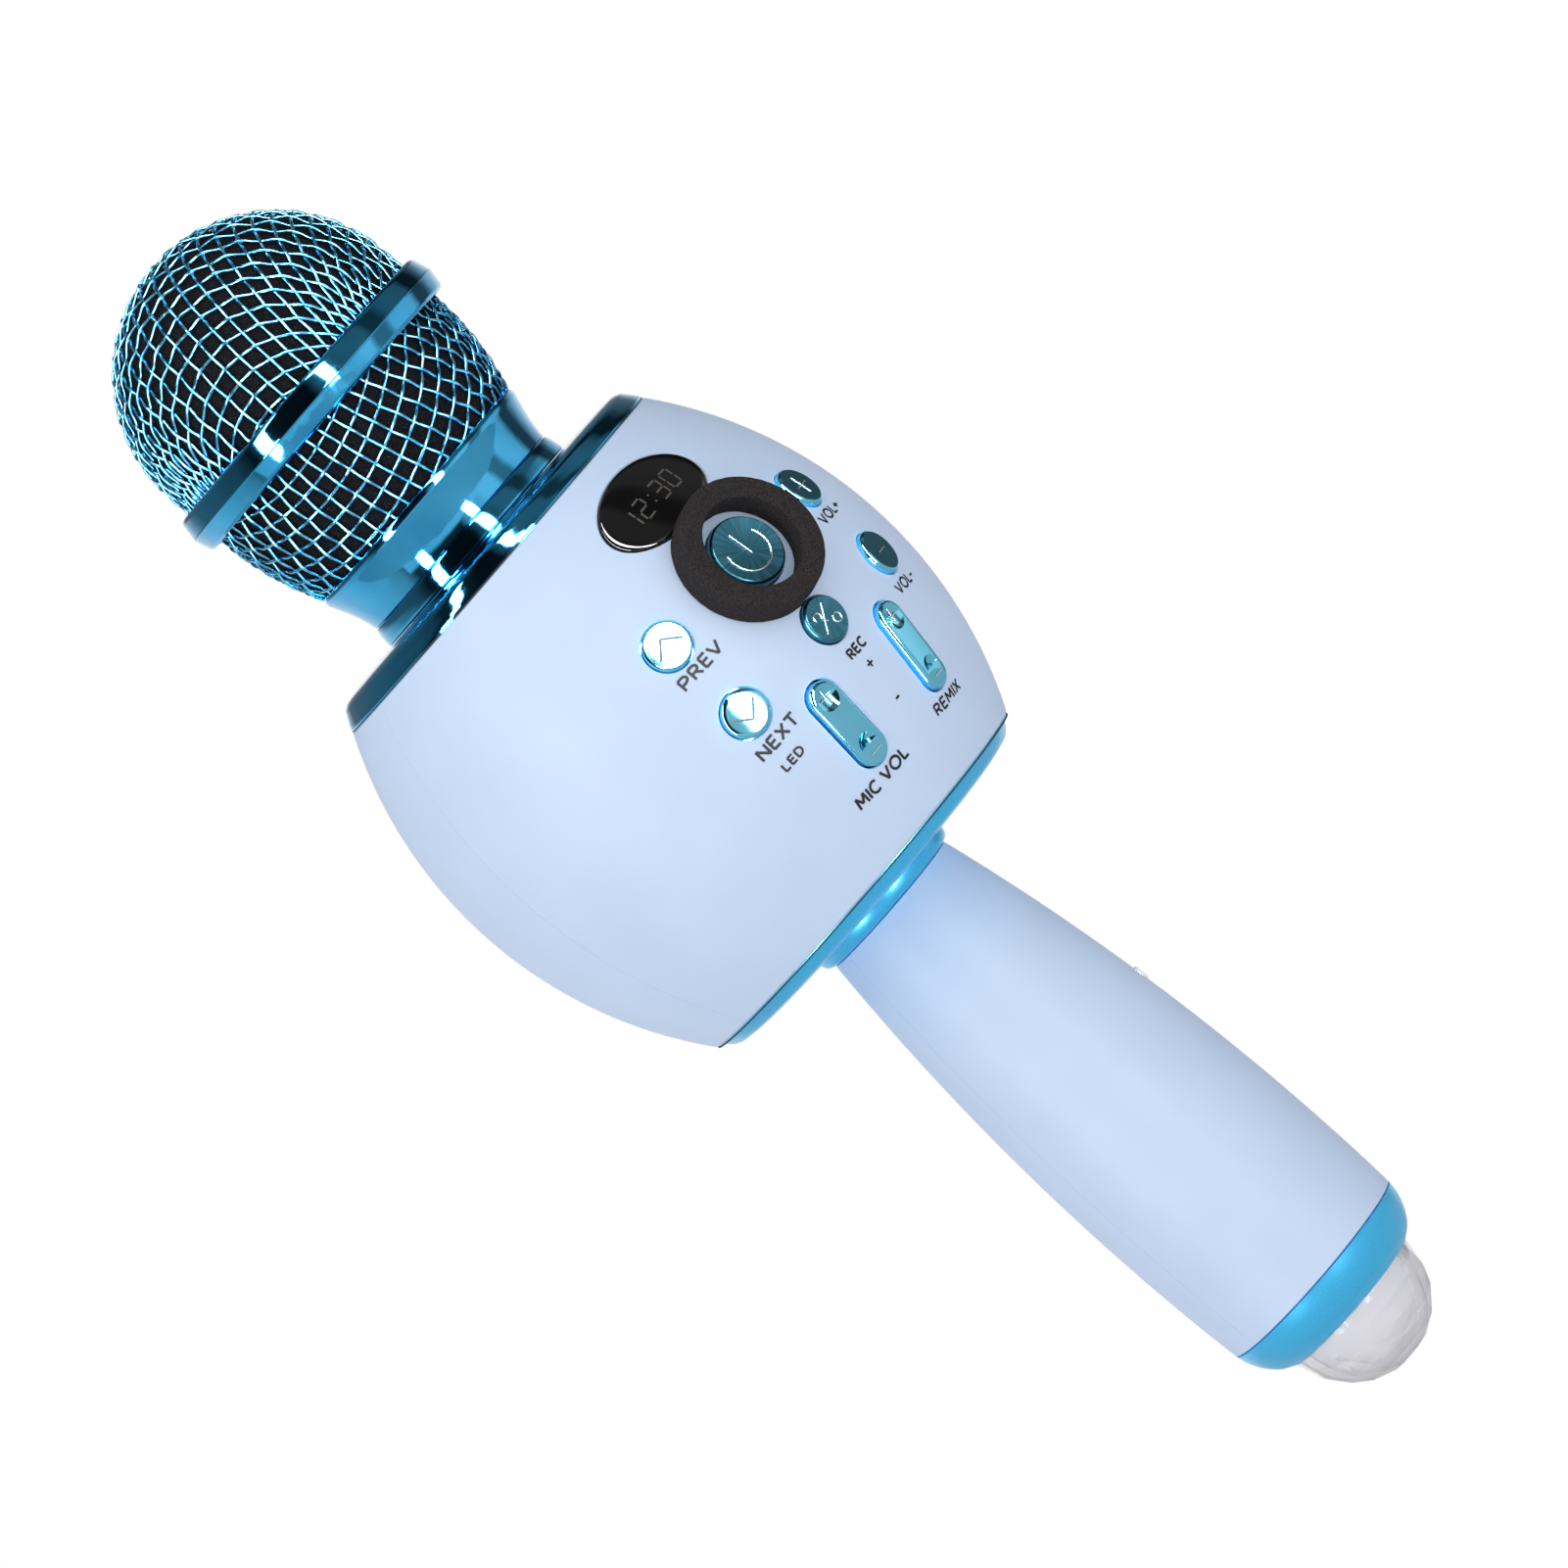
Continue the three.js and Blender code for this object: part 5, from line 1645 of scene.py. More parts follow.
@dataclass
class Panel:
    """Everything on the barrel's front."""

    display: Seat = Seat(0.0, 0.71)
    display_size: tuple[float, float] = (11.2, 7.2)
    display_proud: float = 0.5
    display_fall: float = 0.25
    ring_inner: float = 8.1
    ring_outer: float = 11.9
    ring_thickness: float = 4.0
    keys: tuple[Key, ...] = (
        Key("power", 0.0, 0.277, 6.2, 1.5, Mark.POWER, 0.35),
        Key("prev", -26.2, 0.277, 4.0, 0.8, Mark.UP, -0.05),
        Key("next", -26.2, -0.139, 4.0, 0.8, Mark.DOWN, -0.12),
        Key("vol_up", 26.2, 0.277, 4.0, 0.8, Mark.PLUS, 0.0),
        Key("vol_down", 26.2, -0.139, 4.0, 0.8, Mark.MINUS, 0.0),
        Key("rec", 0.0, -0.139, 4.0, 0.8, Mark.RECORD, 0.06),
    )
    rockers: tuple[Rocker, ...] = (Rocker("mic_volume", -13.0), Rocker("remix", 13.0))
    labels: tuple[Label, ...] = (
        Label("label_volume_up", "VOL+", 25.9, 93.3, 1.7, 8.4, 0.36),
        Label("label_volume_down", "VOL-", 26.4, 77.2, 1.7, 8.0, 0.36),
        Label("label_record", "REC", 0.6, 76.7, 1.5, 4.6, 0.4),
        Label("label_more", "+", 0.5, 73.6, 2.4, 0.0, 0.34),
        Label("label_less", "-", 0.3, 66.9, 2.4, 0.0, 0.4),
        Label("label_remix", "REMIX", 13.2, 60.4, 1.7, 9.0, 0.38),
        Label("label_previous", "PREV", -24.8, 93.5, 1.95, 9.4),
        Label("label_next", "NEXT", -25.3, 77.2, 1.95, 9.0),
        Label("label_light", "LED", -26.5, 73.2, 1.35, 4.6, 0.36),
        Label("label_microphone_volume", "MIC VOL", -15.3, 60.4, 1.95, 12.6),
    )

    def make(self, bench: Bench) -> None:
        """Makes the panel's pieces."""
        for part in (*self.keys, *self.rockers, *self.labels):
            part.make(bench)
        bench.piece("display_lens", self.lens(), LENS, "housing", ["display_window"])
        bench.piece("display_digits", self.digits(), GLYPH, "housing", sharp=60)
        ring = bench.piece("finger_ring", self.ring(), RING_FOAM, "housing", ["foam_ring"])

    def lens(self) -> Shape:
        """The oval glossy lens, which follows the barrel."""
        top, edge = self.display_proud, 0.32
        rings = [i / 12 * 0.93 for i in range(13)]
        face = [(r, top - self.display_fall * r**4) for r in rings]
        rim = [(0.955, top - 0.26), (0.98, top - edge), (0.995, top - edge - 0.16), (1, top - 0.8)]
        rim += [(1, -1.7), (0, -1.7)]
        bm = turned([*face, *rim], 128)
        bmesh.ops.scale(bm, vec=(*self.display_size, 1), verts=bm.verts)
        return placed(lying(bm, self.display), self.display.matrix())

    def digits(self) -> Shape:
        """Dim figures on the lens."""
        figures = sliced(lettering("12:30", 3.6, 11.5, 0.34, 0.3), 0.8)
        bmesh.ops.scale(figures, vec=(1, 1, 0.3), verts=figures.verts)
        bmesh.ops.translate(figures, vec=(0.2, -0.2, self.display_proud + 0.008), verts=figures.verts)
        for vert in figures.verts:
            reach = math.hypot(vert.co.x / self.display_size[0], vert.co.y / self.display_size[1])
            vert.co.x += vert.co.y * 0.12
            vert.co.z -= self.display_fall * reach**4
        return placed(lying(figures, self.display), self.display.matrix())

    def ring(self) -> Shape:
        """The foam ring, which rests on the panel and the display's edge and gives way to the record key."""
        seat = self.keys[0].seat
        inner, outer, top = self.ring_inner, self.ring_outer, self.ring_thickness
        profile = filleted(
            [
                (inner, 0.0),
                (outer, 0.0, 0.3),
                (outer + 0.05, top * 0.5, 1.2),
                (outer, top, 0.45),
                (inner, top, 0.45),
                (inner - 0.02, top * 0.5, 1.2),
            ],
            5,
        )
        bm = turned(profile, 160)
        long_edges = [edge for edge in bm.edges if edge.calc_length() > 1.0]
        bmesh.ops.subdivide_edges(bm, edges=long_edges, cuts=2, use_grid_fill=True)
        to_display = self.display.matrix().inverted() @ seat.matrix()
        record = Vector((0, (self.keys[-1].share - self.keys[0].share) * HALF_BODY))
        near, brim = 4.32, 0.5
        for vert in bm.verts:
            co = vert.co
            ground = seat.fall(co.x, co.y) + 0.06
            on_lens = to_display @ Vector((co.x, co.y, ground))
            across, up = (on_lens[i] / (self.display_size[i] + brim) for i in (0, 1))
            reach = math.hypot(across, up)
            ground += (self.display_proud + 0.1) * min(1.0, max(0.0, (1.06 - reach) / 0.1))
            share = co.z / top
            co.z = ground + (top - ground) * share
            away = Vector((co.x, co.y)) - record
            if away.length < near and co.z < 1.6:
                push = away.normalized() * near
                co.x, co.y = record.x + push.x, record.y + push.y
            wobble = noise.noise(co * 1.4) * 0.05
            co.x += co.x / 10 * wobble
            co.y += co.y / 10 * wobble
        return placed(bm, seat.matrix())


# ---------------------------------------------------------------- barrel


@dataclass
class Body:
    """The barrel's two shells and their screws."""

    wall: float = 2.2
    seam: float = 0.04
    edge: float = 0.3

    def make(self, bench: Bench, panel: Panel) -> None:
        """Makes the shells.

        Args:
            bench: Where the pieces are made.
            panel: The controls that the front shell has holes for.
        """
        for side, shell in (("front", self.front(panel)), ("back", self.back())):
            replaced = [f"body_{side}_shell"]
            bench.piece(f"{side}_shell", shell, SOFT_TOUCH, "housing", replaced, surface=BARREL)
        for name, side in (("case_screw_front", -1), ("case_screw_back", 1)):
            place = Matrix.Translation((0, side * CASE_SCREW_REACH, LEVELS.plate_foot + GAP))
            bench.piece(f"{name}_steel", placed(screw(9.5), place), STEEL, "housing", [name])

    def tube(self) -> Shape:
        """The whole barrel wall, with softened ends."""
        bottom, top = LEVELS.body_foot + 0.3, LEVELS.body_top - 0.12
        outer = BARREL.profile(bottom + self.edge, top - self.edge, 72)
        inner = [(r - self.wall, z) for r, z in reversed(BARREL.profile(bottom, top, 8))]
        foot = [(BARREL.at(bottom) - self.edge, bottom), (BARREL.at(bottom) - 0.08, bottom + 0.09)]
        head = [(BARREL.at(top) - 0.08, top - 0.09), (BARREL.at(top) - self.edge, top)]
        return turned([*foot, *outer, *head, *inner], 240)

    def front(self, panel: Panel) -> Shape:
        """The front shell, with a softened hole for each control."""
        shell = halved(self.tube(), -1, self.seam)
        key_play, rocker_play, lip = 0.2, 0.32, 0.28

        def cutter(radius: float) -> Shape:
            """A turned cutter that flares at the surface."""
            flare = [(radius + 0.09, -0.1), (radius + lip, 0.01), (radius + 1.2, 0.9)]
            return turned([(0, -4), (radius, -4), (radius, -lip), *flare, (0, 0.9)], 72, half_step=True)

        tools = []
        for key in panel.keys:
            tools.append(placed(lying(cutter(key.radius + key_play), key.seat), key.seat.matrix()))
        for rocker in panel.rockers:
            hole = pill(cutter(rocker.width / 2 + rocker_play), rocker.straight)
            tools.append(placed(lying(hole, rocker.seat), rocker.seat.matrix()))
        oval = turned([(0, -4), (1.018, -4), (1.018, -0.25), (1.045, 0.01), (1.12, 0.9), (0, 0.9)], 128)
        bmesh.ops.scale(oval, vec=(*panel.display_size, 1), verts=oval.verts)
        tools.append(placed(lying(oval, panel.display), panel.display.matrix()))
        return carved(shell, *tools)

    def back(self) -> Shape:
        """The back shell, with the raised seat of the speaker."""
        shell = halved(self.tube(), 1, self.seam)
        seat, bore, face = SPEAKER_SEAT, SPEAKER_OPENING, BARREL.radius - SPEAKER_SINK
        clearing = turned([(0, face - 0.05), (seat + 0.02, face - 0.05), (seat + 0.3, 60), (0, 60)], 128)
        opening = turned([(0, 20), (bore, 20), (bore, 50), (0, 50)], 96)
        shell = carved(shell, placed(clearing, facing_back()))
        shell = carved(shell, placed(opening, facing_back()))
        foot = face - 3.5
        ring = turned(filleted([(bore, foot), (seat, foot), (seat, face, 0.35), (bore, face)]), 128)
        return carved(shell, placed(ring, facing_back()), how=Cut.JOIN)


def facing_back(height: float = BODY_MIDDLE) -> Matrix:
    """Turns a shape made about Z to look out of the back at a height, or at the barrel's middle."""
    return Matrix.Translation((0, 0, height)) @ Matrix.Rotation(-math.pi / 2, 4, "X")


def screw(length: float) -> Shape:
    """A pan-head screw with a cross recess, its head below and its shank up."""
    head = filleted([(0, -0.02), (1.2, 0.0, 0.5), (2.35, 0.4, 0.4), (2.4, 1.0)])
    body = turned([*head, (1.2, 1.0), (1.2, length - 1), (0, length)], 48)
    arms = [slab((3.0, 0.62, 1.3), (0, 0, 0)), slab((0.62, 3.0, 1.3), (0, 0, 0))]
    for arm in arms:
        body = carved(body, arm)
    return body


# ---------------------------------------------------------------- speaker


@dataclass
class Speaker:
    """The speaker in the barrel's back, behind a pierced plate."""

    trim: float = 3.9
    hole: float = 0.82
    pitch: float = 2.5
    rings: int = 7

    def make(self, bench: Bench) -> None:
        """Makes the speaker's visible pieces."""
        face = BARREL.radius - SPEAKER_SINK + GAP
        plate = placed(self.plate(face), facing_back())
        bench.piece("speaker_plate", plate, PAINT, "housing", ["speaker_grille"])
        bore, rim = SPEAKER_SEAT - self.trim, SPEAKER_SEAT - GAP
        profile = filleted(
            [
                (bore, face - 0.2),
                (rim, face - 0.2),
                (rim, face + 1.1, 0.5),
                (rim - 1.1, face + 1.5, 0.5),
                (bore + 0.6, face + 1.35, 0.4),
                (bore, face + 0.8, 0.3),
            ]
        )
        trim = placed(turned(profile, 160), facing_back())
        bench.piece("speaker_trim", trim, CHROME, "housing", ["speaker_trim_ring"])
        bench.piece("speaker_paper_cone", placed(self.cone(), facing_back()), PAPER, "cone", ["speaker_cone"])
        bench.dress(BLACK, "speaker_basket")
        bench.dress(FERRITE, "speaker_magnet")

    def plate(self, face: float) -> Shape:
        """The flat plate with rings of holes."""
        radius, hole = SPEAKER_SEAT - self.trim - 0.12, self.hole
        drill = [(0, face - 1), (hole, face - 1), (hole, face + 0.85), (hole + 0.22, face + 2), (0, face + 2)]
        disc = turned(filleted([(0, face), (radius, face), (radius, face + 0.9, 0.3), (0, face + 1.0)]), 128)
        holes = []
        for ring in range(self.rings):
            count, reach = max(1, ring * 6), ring * self.pitch
            for i in range(count):
                turn = FULL_TURN * (i / count + ring * 0.04)
                place = Matrix.Translation((reach * math.cos(turn), reach * math.sin(turn), 0))
                holes.append(placed(turned(drill, 14), place))
        return carved(disc, *holes)

    def cone(self) -> Shape:
        """The cone with its roll surround and dust cap."""
        bottom, rim, radius = low("speaker_cone").y, high("speaker_cone").y, high("speaker_cone").x
        paper = [(0, bottom), (5.3, bottom), (radius - 3.0, rim - 1.6), (radius, rim - 1.0)]
        roll = swept((radius - 1.5, rim - 0.75), (1.5, 0.75), 0, 180, 9)
        cap = swept((0, bottom + 2.2), (5.6, 1.4), 10, 80, 7)
        return turned([*paper, *roll, (6.2, bottom + 1.7), *cap, (0, bottom + 3.6)], 96)


# ---------------------------------------------------------------- handle


@dataclass
class Handle:
    """The tapered grip in two halves, with its ports, screw and charge lens."""

    wall: float = 2.0
    seam: float = 0.04
    indicator_angle: float = 54.0
    indicator_height: float = 7.0
    indicator_length: float = 1.4

    def make(self, bench: Bench) -> None:
        """Makes the handle's pieces."""
        for side, shell in (("front", self.front()), ("back", self.back())):
            replaced = [f"handle_{side}_shell"]
            bench.piece(f"grip_{side}", shell, SOFT_TOUCH, "housing", replaced, surface=GRIP)
        bench.piece("charge_lens", self.lens(), LED_LENS, "housing", ["charge_indicator"])
        size, centre = extent("handle_screw")
        head = Vector((0, high("handle_screw").y, centre.z))
        place = Matrix.Translation(head) @ Matrix.Rotation(math.pi / 2, 4, "X")
        bench.piece("grip_screw", placed(screw(size.y), place), STEEL, "housing", ["handle_screw"])
        for node, wall, tongue in (("usb_port", 0.4, 0.9), ("card_slot", 0.35, 0.0)):
            bench.piece(f"{node}_shell", self.socket(node, wall, tongue), STEEL, "housing", [node])
        bench.piece("jack_barrel", self.jack(), BLACK, "housing", ["aux_jack"])

    def tube(self) -> Shape:
        """The whole grip's wall with its neck."""
        bottom, top = LEVELS.handle_foot + 0.12, LEVELS.handle_top
        edge = 0.25
        outer = [(GRIP.at(bottom) - edge, bottom), (GRIP.at(bottom) - 0.06, bottom + 0.07)]
        outer += GRIP.profile(bottom + edge, top - edge, 64)
        outer += [(GRIP.at(top) - 0.06, top - 0.07), (GRIP.at(top) - edge, top)]
        flange, neck_wall = LEVELS.plate_foot + 2.8, (9.4, 11.6)
        neck = [(neck_wall[1], top), (neck_wall[1], flange), (neck_wall[0], flange), (neck_wall[0], top - 3)]
        inner = [(r - self.wall, z) for r, z in reversed(GRIP.profile(bottom, top - 5, 10))]
        return turned([*outer, *neck, *inner], 200)

    def front(self) -> Shape:
        """The front half, with the hole for the charge lens."""
        profile = [(0, -4), (1.0, -4), (1.0, -0.15), (1.2, 0.05), (1.6, 1.0), (0, 1.0)]
        hole = pill(turned(profile, 32, half_step=True), self.indicator_length)
        return carved(halved(self.tube(), -1, self.seam), placed(hole, self.indicator_place()))

    def indicator_place(self) -> Matrix:
        """The charge lens's place on the grip."""
        turn = math.radians(self.indicator_angle)
        out, up = Vector((math.sin(turn), -math.cos(turn), 0)), Vector((0, 0, 1))
        origin = out * GRIP.at(self.indicator_height) + up * self.indicator_height
        return basis(Vector((math.cos(turn), math.sin(turn), 0)), up, out, origin)

    def lens(self) -> Shape:
        """The small clear lens of the charge light."""
        profile = filleted([(0, 0.42), (0.55, 0.38, 0.2), (0.8, 0.05, 0.2), (0.8, -3.2), (0, -3.2)])
        lens = pill(turned(profile, 40, half_step=True), self.indicator_length)
        return placed(lens, self.indicator_place())

    def back(self) -> Shape:
        """The back half, with the ports' openings and the screw's well."""
        half = halved(self.tube(), 1, self.seam)
        tools = []
        for node in ("usb_port", "card_slot"):
            size, centre = extent(node)
            opening = slab((size.x + 0.5, 12, size.z + 0.5), (0, 18, centre.z), 0.35, 3)
            outside = GRIP.at(centre.z) + 0.95
            tools += [opening, slab((size.x + 1.1, 2.4, size.z + 1.1), (0, outside, centre.z), 0.5, 3)]
        jack, fixing = extent("aux_jack")[1].z, extent("handle_screw")[1].z
        face = GRIP.at(jack)
        bore = [(0, 10), (3.2, 10), (3.2, face - 0.3), (3.55, face + 0.1), (5, face + 2), (0, face + 2)]
        face = GRIP.at(fixing)
        well = [(0, 11), (1.5, 11), (1.5, face - 2.75), (2.7, face - 2.7), (2.7, face - 0.15)]
        well += [(2.95, face + 0.1), (4, face + 1.5), (0, face + 1.5)]
        tools += [placed(turned(bore, 56), facing_back(jack)), placed(turned(well, 56), facing_back(fixing))]
        for tool in tools:
            half = carved(half, tool)
        return half

    @staticmethod
    def socket(node: str, wall: float, tongue: float) -> Shape:
        """A stamped port shell, with a contact tongue where it has one.

        Args:
            node: The frame node that it stands for.
            wall: Thickness of its wall.
            tongue: Thickness of its tongue, or 0 for none.

        Returns:
            The port.
        """
        size, centre = extent(node)
        inside = (size.x - 2 * wall, size.y, size.z - 2 * wall)
        mouth = slab(inside, centre + Vector((0, 1, 0)), 0.3, 4)
        shell = carved(slab(size, centre, min(size.x, size.z) * 0.3, 5), mouth)
        if tongue:
            blade = (size.x * 0.7, size.y - 1.4, tongue)
            shell = gathered(shell, slab(blade, centre - Vector((0, 0.3, 0)), 0.12))
        return shell

    @staticmethod
    def jack() -> Shape:
        """The round headphone socket."""
        near, far = low("aux_jack").y, high("aux_jack").y
        barrel, bore = 2.95, 1.75
        outside = [(0, near), (barrel, near), (barrel, far, 0.25), (2.2, far, 0.15)]
        inside = [(bore, far - 0.3, 0.15), (bore, near + 1), (0, near + 1)]
        return placed(turned(filleted([*outside, *inside]), 56), facing_back(extent("aux_jack")[1].z))


# ---------------------------------------------------------------- end light


@dataclass
class EndLight:
    """The lacquered end cap, the faceted crystal dome and the lights behind it."""

    rows: tuple[int, ...] = (20, 19, 16, 12, 7)
    wall: float = 2.0
    board_depth: float = 1.6
    lamps: int = 3
    lamp_reach: float = 6.0

    def make(self, bench: Bench) -> None:
        """Makes the end's pieces."""
        bench.piece("end_ring", self.cap(), PAINT, "housing", ["end_cap"])
        bench.piece("crystal", self.crystal(), CRYSTAL, "housing", ["crystal_dome"], sharp=4)
        bench.piece("light_board", self.board(), PALE_BOARD, "housing", ["led_board"])
        bench.piece("light_lenses", self.lights(), LED_LENS, "housing")

    @property
    def radius(self) -> float:
        """Radius of the crystal."""
        return LEVELS.cap_foot - LEVELS.crystal_foot

    def cap(self) -> Shape:
        """The rounded ring that holds the crystal."""
        top, foot, mouth = LEVELS.handle_foot, LEVELS.cap_foot, self.radius + 0.15
        rim = GRIP.at(top)
        curve = ((0.25, 0.03), (0.0, 0.12), (0.1, 0.6), (0.3, 1.7), (0.7, 3.0), (1.3, 4.2))
        curve += ((1.65, 4.8), (2.1, 5.46), (2.6, 6.1), (3.2, 6.7), (4.2, 7.35))
        outside = [(rim - inward, top - fall) for inward, fall in curve]
        lip = [(mouth + 0.2, foot + 0.03), (mouth, foot + 0.25), (mouth, foot + 1.6)]
        bore, spigot = self.radius + 1.6, rim - 2.3
        inside = [(bore, foot + 1.6), (bore, top + 3), (spigot, top + 3), (spigot, top - 0.1)]
        return turned([*outside, *lip, *inside], 160)

    def crystal(self) -> Shape:
        """A clear shell whose outside is cut in shallow uneven facets."""
        bm = bmesh.new()
        radius, level, rim_corners = self.radius, LEVELS.cap_foot, 64
        for row, count in enumerate(self.rows):
            fall = math.radians(90 * row / len(self.rows) + 2)
            for i in range(count):
                stray = noise.noise_vector((row * 3.1, i * 1.7, 0.5)) * 0.1 if row else Vector()
                turn = FULL_TURN * (i + 0.5 * (row % 2)) / count + stray.x
                depth = fall + stray.y
                out = radius * math.cos(depth)
                bm.verts.new((out * math.cos(turn), out * math.sin(turn), level - radius * math.sin(depth)))
        bm.verts.new((0.4, 0.3, LEVELS.crystal_foot + 0.02))
        for i in range(rim_corners):
            turn = FULL_TURN * i / rim_corners
            for rise in (0.2, 1.9):
                bm.verts.new((radius * math.cos(turn), radius * math.sin(turn), level + rise))
        bmesh.ops.convex_hull(bm, input=bm.verts)
        bmesh.ops.delete(bm, geom=[vert for vert in bm.verts if not vert.link_faces], context="VERTS")
        bmesh.ops.dissolve_limit(bm, angle_limit=math.radians(3), verts=bm.verts, edges=bm.edges)
        bevelled(bm, [edge for edge in bm.edges if edge.calc_face_angle(0) > 0.12], 0.16, 2)
        inner = radius - self.wall
        angles = [math.pi / 2 * i / 16 for i in range(17)]
        hollow = [(inner * math.sin(angle), level - inner * math.cos(angle)) for angle in angles]
        return carved(bm, turned([*hollow, (inner, level + 4), (0, level + 4)], 64))

    def board(self) -> Shape:
        """The white board under the crystal."""
        top, radius = high("led_board").z, self.radius + 1.2
        foot = top - self.board_depth
        return turned(filleted([(0, foot), (radius, foot, 0.1), (radius, top, 0.1), (0, top)]), 64)

    def lights(self) -> Shape:
        """The lamp lenses on the board."""
        foot = high("led_board").z - self.board_depth - 0.02
        flange = [(2.9, foot), (2.9, foot - 0.7), (2.5, foot - 0.8)]
        bulb = swept((0, foot - 0.8), (2.45, -3.0), 0, 80, 8)
        shapes = []
        for i in range(self.lamps):
            turn = FULL_TURN * i / self.lamps
            lens = turned([*flange, *bulb, (0, foot - 3.8), (0, foot)], 32)
            place = (self.lamp_reach * math.cos(turn), self.lamp_reach * math.sin(turn), 0)
            shapes.append(placed(lens, Matrix.Translation(place)))
        return gathered(*shapes)


# ---------------------------------------------------------------- inside


def dress_inside(bench: Bench) -> None:
    """Dresses the frame nodes that lie inside."""
    switches = [f"{control.name}_switch" for control in (*Panel.keys, *Panel.rockers)]
    bench.dress(BLACK, *switches, "display_module", "switch_carrier", "battery_cradle")
    bench.dress(STEEL, "head_thread_ring", "mic_capsule", "mic_volume_pin", "remix_pin")
    bench.dress(BOARD, "main_board", "charge_board")
    bench.dress(RUBBER, "capsule_cradle", "capsule_lead")
    bench.dress(SLEEVE, "battery_cell")
    bench.dress(LEAD_SLEEVE, "battery_lead", "speaker_lead")


# ---------------------------------------------------------------- studio


@dataclass(frozen=True)
class Softbox:
    """A tall light that stands round the axis.

    Attributes:
        name: Its name.
        turn: Degrees to the right of the camera's direction.
        width: Its width, in metres.
        height: Its height, in metres.
        radiance: How bright its face is.
    """

    name: str
    turn: float
    width: float
    height: float = 6.0
    radiance: float = 34.0


@dataclass
class Studio:
    """The camera, the lights, the pale surroundings and the floor.

    Attributes:
        azimuth: Where the camera stands round the axis, in degrees.
        elevation: Its height above the horizon.
        distance: From the aim to the camera, in metres.
        slant: Parts of the axis that run across and down the picture.
        lens: Focal length of the camera, in millimetres.
        aim_height: Height of the aim on the axis, in metres.
        aim_right: How far right of the axis it is, in metres.
        room: How bright the walls are at each angle in degrees from the camera's direction.
        ground: The same for the ground.
        ceiling: Brightness above as a share of the walls'.
        ceiling_band: Upward parts of the direction between which the walls fade to the ceiling.
        ground_band: The same for the start and the end of the ground's rise to its full brightness.
        softboxes: The tall lights that the gloss mirrors.
        fill_angle: Spread of the broad soft light, in degrees.
        fill_energy: Its strength.
    """

    azimuth: float = -36.0
    elevation: float = 2.4
    distance: float = 1.7438
    lens: float = 251.8
    aim_height: float = 0.0698
    aim_right: float = 0.00341
    slant: tuple[float, float] = (0.757, 0.654)
    room: tuple[tuple[float, float], ...] = (
        (-180, 0.95), (-120, 0.95), (-95, 0.75), (-70, 0.5), (-56, 0.06), (-30, 0.05),
        (6, 0.03), (14, 0.6), (36, 0.8), (42, 1.0), (60, 1.0), (66, 0.3),
        (78, 0.3), (86, 0.9), (98, 0.95), (110, 0.8), (118, 0.1), (132, 0.1),
        (145, 0.6), (160, 0.95), (180, 0.95),
    )
    ground: tuple[tuple[float, float], ...] = (
        (-180, 0.95), (-100, 0.8), (-82, 0.7), (-78, 0.06), (-64, 0.06), (-60, 0.9),
        (0, 1.0), (50, 0.9), (54, 0.05), (84, 0.05), (90, 0.5), (108, 0.5),
        (114, 0.05), (132, 0.05), (140, 0.8), (180, 0.95),
    )
    ceiling: float = 0.22
    ceiling_band: tuple[float, float] = (0.04, 0.24)
    ground_band: tuple[float, float] = (-0.29, -0.38)
    softboxes: tuple[Softbox, ...] = (Softbox("left", -41.0, 0.26), Softbox("right", 22.5, 0.28))
    fill_angle: float = 170.0
    fill_energy: float = 2.85

    def make(self) -> None:
        """Makes the studio."""
        self.axes()
        self.camera()
        self.surroundings()
        self.lights()
        self.floor()
        bpy.context.scene.view_settings.view_transform = "Standard"

    def axes(self) -> None:
        """Works out the directions towards the camera, to its right and up."""
        turn, rise = math.radians(self.azimuth), math.radians(self.elevation)
        level = Vector((math.sin(turn), -math.cos(turn), 0))
        self.towards = level * math.cos(rise) + Vector((0, 0, math.sin(rise)))
        self.right = Vector((math.cos(turn), math.sin(turn), 0))
        self.up = self.towards.cross(self.right)
        self.aim = Vector((0, 0, self.aim_height)) + self.right * self.aim_right

    def camera(self) -> None:
        """Makes the camera."""
        data = bpy.data.cameras.new("camera")
        data.lens, data.sensor_width = self.lens, 36.0
        data.clip_start, data.clip_end = 0.1, 20.0
        down, across = self.slant
        x_axis = self.right * across - self.up * down
        y_axis = self.right * down + self.up * across
        camera = bpy.data.objects.new("camera", data)
        camera.matrix_world = basis(x_axis, y_axis, self.towards, self.aim + self.towards * self.distance)
        bpy.context.scene.collection.objects.link(camera)
        bpy.context.scene.camera = camera

    def surroundings(self) -> None:
        """Makes a white backdrop with darker room above and before the microphone for it to mirror."""
        world = bpy.data.worlds.new("surroundings")
        bpy.context.scene.world = world
        world.use_nodes = True
        tree = world.node_tree
        background = tree.nodes["Background"]

        direction = tree.nodes.new("ShaderNodeTexCoord").outputs["Generated"]

        def along(axis: Vector) -> Socket:
            """Part of the direction that lies along an axis."""
            inputs = {0: direction, 1: axis}
            return add_node(tree, "VectorMath", inputs, operation="DOT_PRODUCT").outputs["Value"]

        def combined(operation: str, first: Socket, second: Socket) -> Socket:
            """One value from two."""
            return add_node(tree, "Math", {0: first, 1: second}, operation=operation).outputs["Value"]

        def spread(value: Socket, start: float, end: float, first: float, last: float, kind: str) -> Socket:
            """A value's part from start to end, spread from first to last."""
            inputs = {"Value": value, "From Min": start, "From Max": end, "To Min": first, "To Max": last}
            return add_node(tree, "MapRange", inputs, interpolation_type=kind).outputs["Result"]

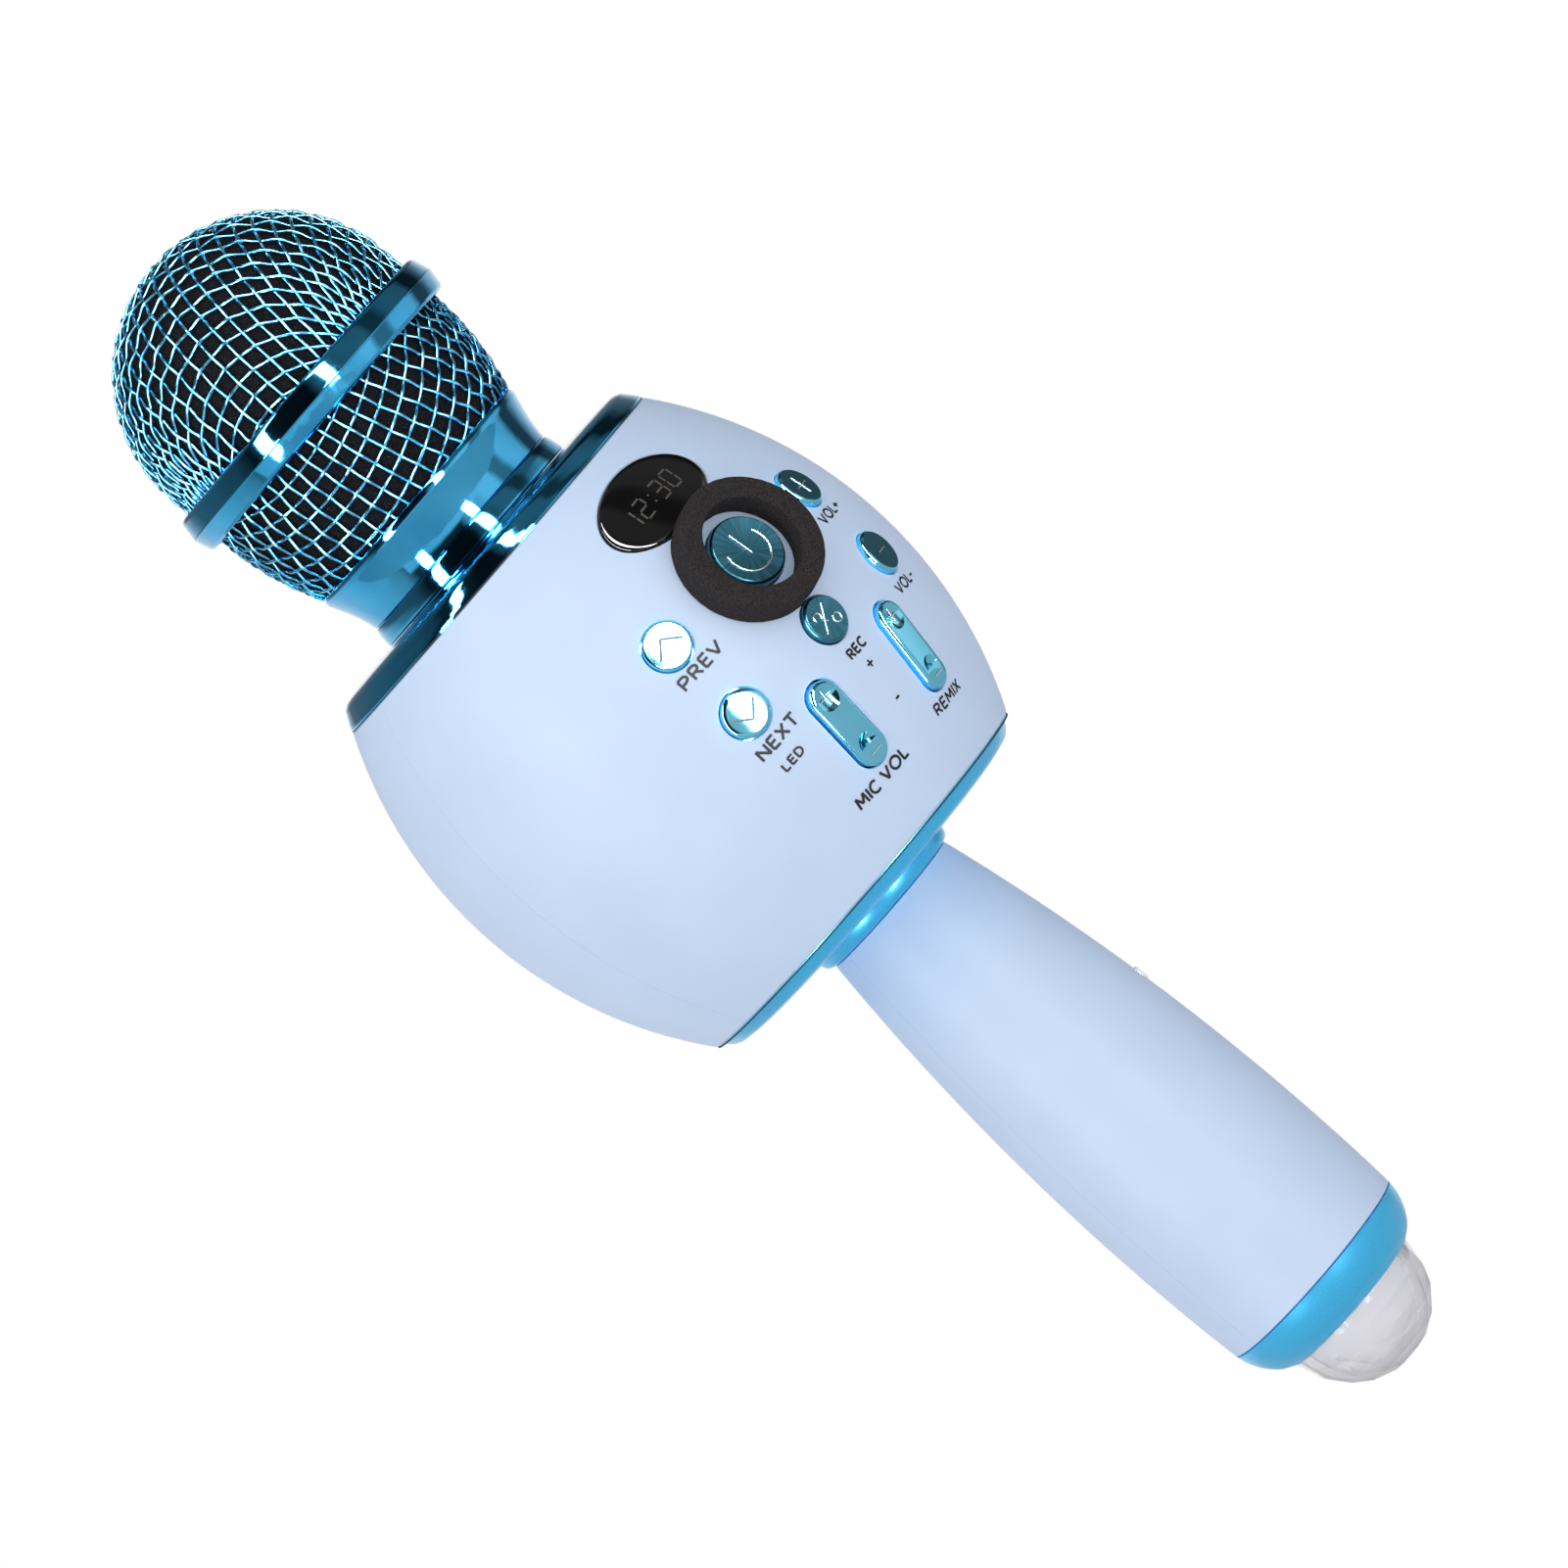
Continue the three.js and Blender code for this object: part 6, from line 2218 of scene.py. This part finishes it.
        azimuth = combined("ARCTAN2", along(self.right), along(self.towards))
        place = spread(azimuth, -math.pi, math.pi, 0.0, 1.0, "LINEAR")

        def levels(stops: Sequence[tuple[float, float]]) -> Socket:
            """Brightness round the axis, from levels at angles in degrees."""
            return add_ramp(tree, place, [(degrees / 360 + 0.5, (level,) * 3) for degrees, level in stops])

        rise = along(Vector((0, 0, 1)))
        shade = spread(rise, *self.ceiling_band, 1.0, self.ceiling, "SMOOTHSTEP")
        reach = spread(rise, *self.ground_band, 0.0, 1.0, "SMOOTHSTEP")
        walls = combined("MULTIPLY", levels(self.room), shade)
        floor = combined("MULTIPLY", levels(self.ground), reach)
        total = combined("MAXIMUM", walls, floor)
        seen = tree.nodes.new("ShaderNodeLightPath").outputs["Is Camera Ray"]
        strength = add_node(tree, "Mix", {0: seen, 2: total, 3: 1.0}, data_type="FLOAT").outputs[0]
        background.inputs["Color"].default_value = (1, 1, 1, 1)
        tree.links.new(strength, background.inputs["Strength"])

    def lights(self) -> None:
        """Hangs the softboxes, and a broad soft light that the gloss doesn't mirror."""
        distance, lift = 1.5, 1.0
        for box in self.softboxes:
            angle = math.radians(box.turn)
            way = self.towards * math.cos(angle) + self.right * math.sin(angle)
            data = bpy.data.lights.new(f"softbox_{box.name}", "AREA")
            data.shape, data.size, data.size_y = "RECTANGLE", box.width, box.height
            data.energy = box.radiance * math.pi * box.width * box.height
            light = self.hung(data, way, distance)
            light.location += self.up * lift
            light.visible_diffuse = False
        data = bpy.data.lights.new("fill", "SUN")
        data.angle, data.energy = math.radians(self.fill_angle), self.fill_energy
        way = (self.towards - self.right * 0.35 + self.up * 0.1).normalized()
        self.hung(data, way, distance).visible_glossy = False

    def hung(self, data: bpy.types.Light, way: Vector, distance: float) -> bpy.types.Object:
        """Hangs a light that shines on the microphone.

        Args:
            data: The light.
            way: Direction from the microphone to it.
            distance: How far away it is.

        Returns:
            The light's object.
        """
        light = bpy.data.objects.new(data.name, data)
        side = self.up.cross(way).normalized()
        light.matrix_world = basis(side, way.cross(side), way, self.aim + way * distance)
        light.visible_camera = False
        bpy.context.scene.collection.objects.link(light)
        return light

    @staticmethod
    def floor() -> None:
        """Lays the plain pale floor."""
        bm = bmesh.new()
        bmesh.ops.create_circle(bm, cap_ends=True, segments=96, radius=0.9)
        bmesh.ops.translate(bm, vec=(0, 0, -0.3), verts=bm.verts)
        mesh = bpy.data.meshes.new("floor")
        bm.to_mesh(mesh)
        bm.free()
        nodes = Nodes("pale_floor")
        nodes.set(Roughness=0.9)
        nodes.colour(nodes.ramp(nodes.noise(40.0), (0.3, (0.86, 0.86, 0.87)), (0.7, (0.9, 0.9, 0.9))))
        mesh.materials.append(nodes.material)
        floor = bpy.data.objects.new("floor", mesh)
        bpy.context.scene.collection.objects.link(floor)


# ---------------------------------------------------------------- assembly


def main() -> None:
    """Builds the microphone and its studio."""
    logging.basicConfig(level=logging.INFO, format="%(message)s")
    bench, panel = Bench(), Panel()
    Studio().make()
    GrilleHead().make(bench)
    NeckAndPlates().make(bench)
    Body().make(bench, panel)
    panel.make(bench)
    Speaker().make(bench)
    Handle().make(bench)
    EndLight().make(bench)
    dress_inside(bench)
    log.info("%d pieces made", len(bench.made))


if __name__ == "__main__":
    main()
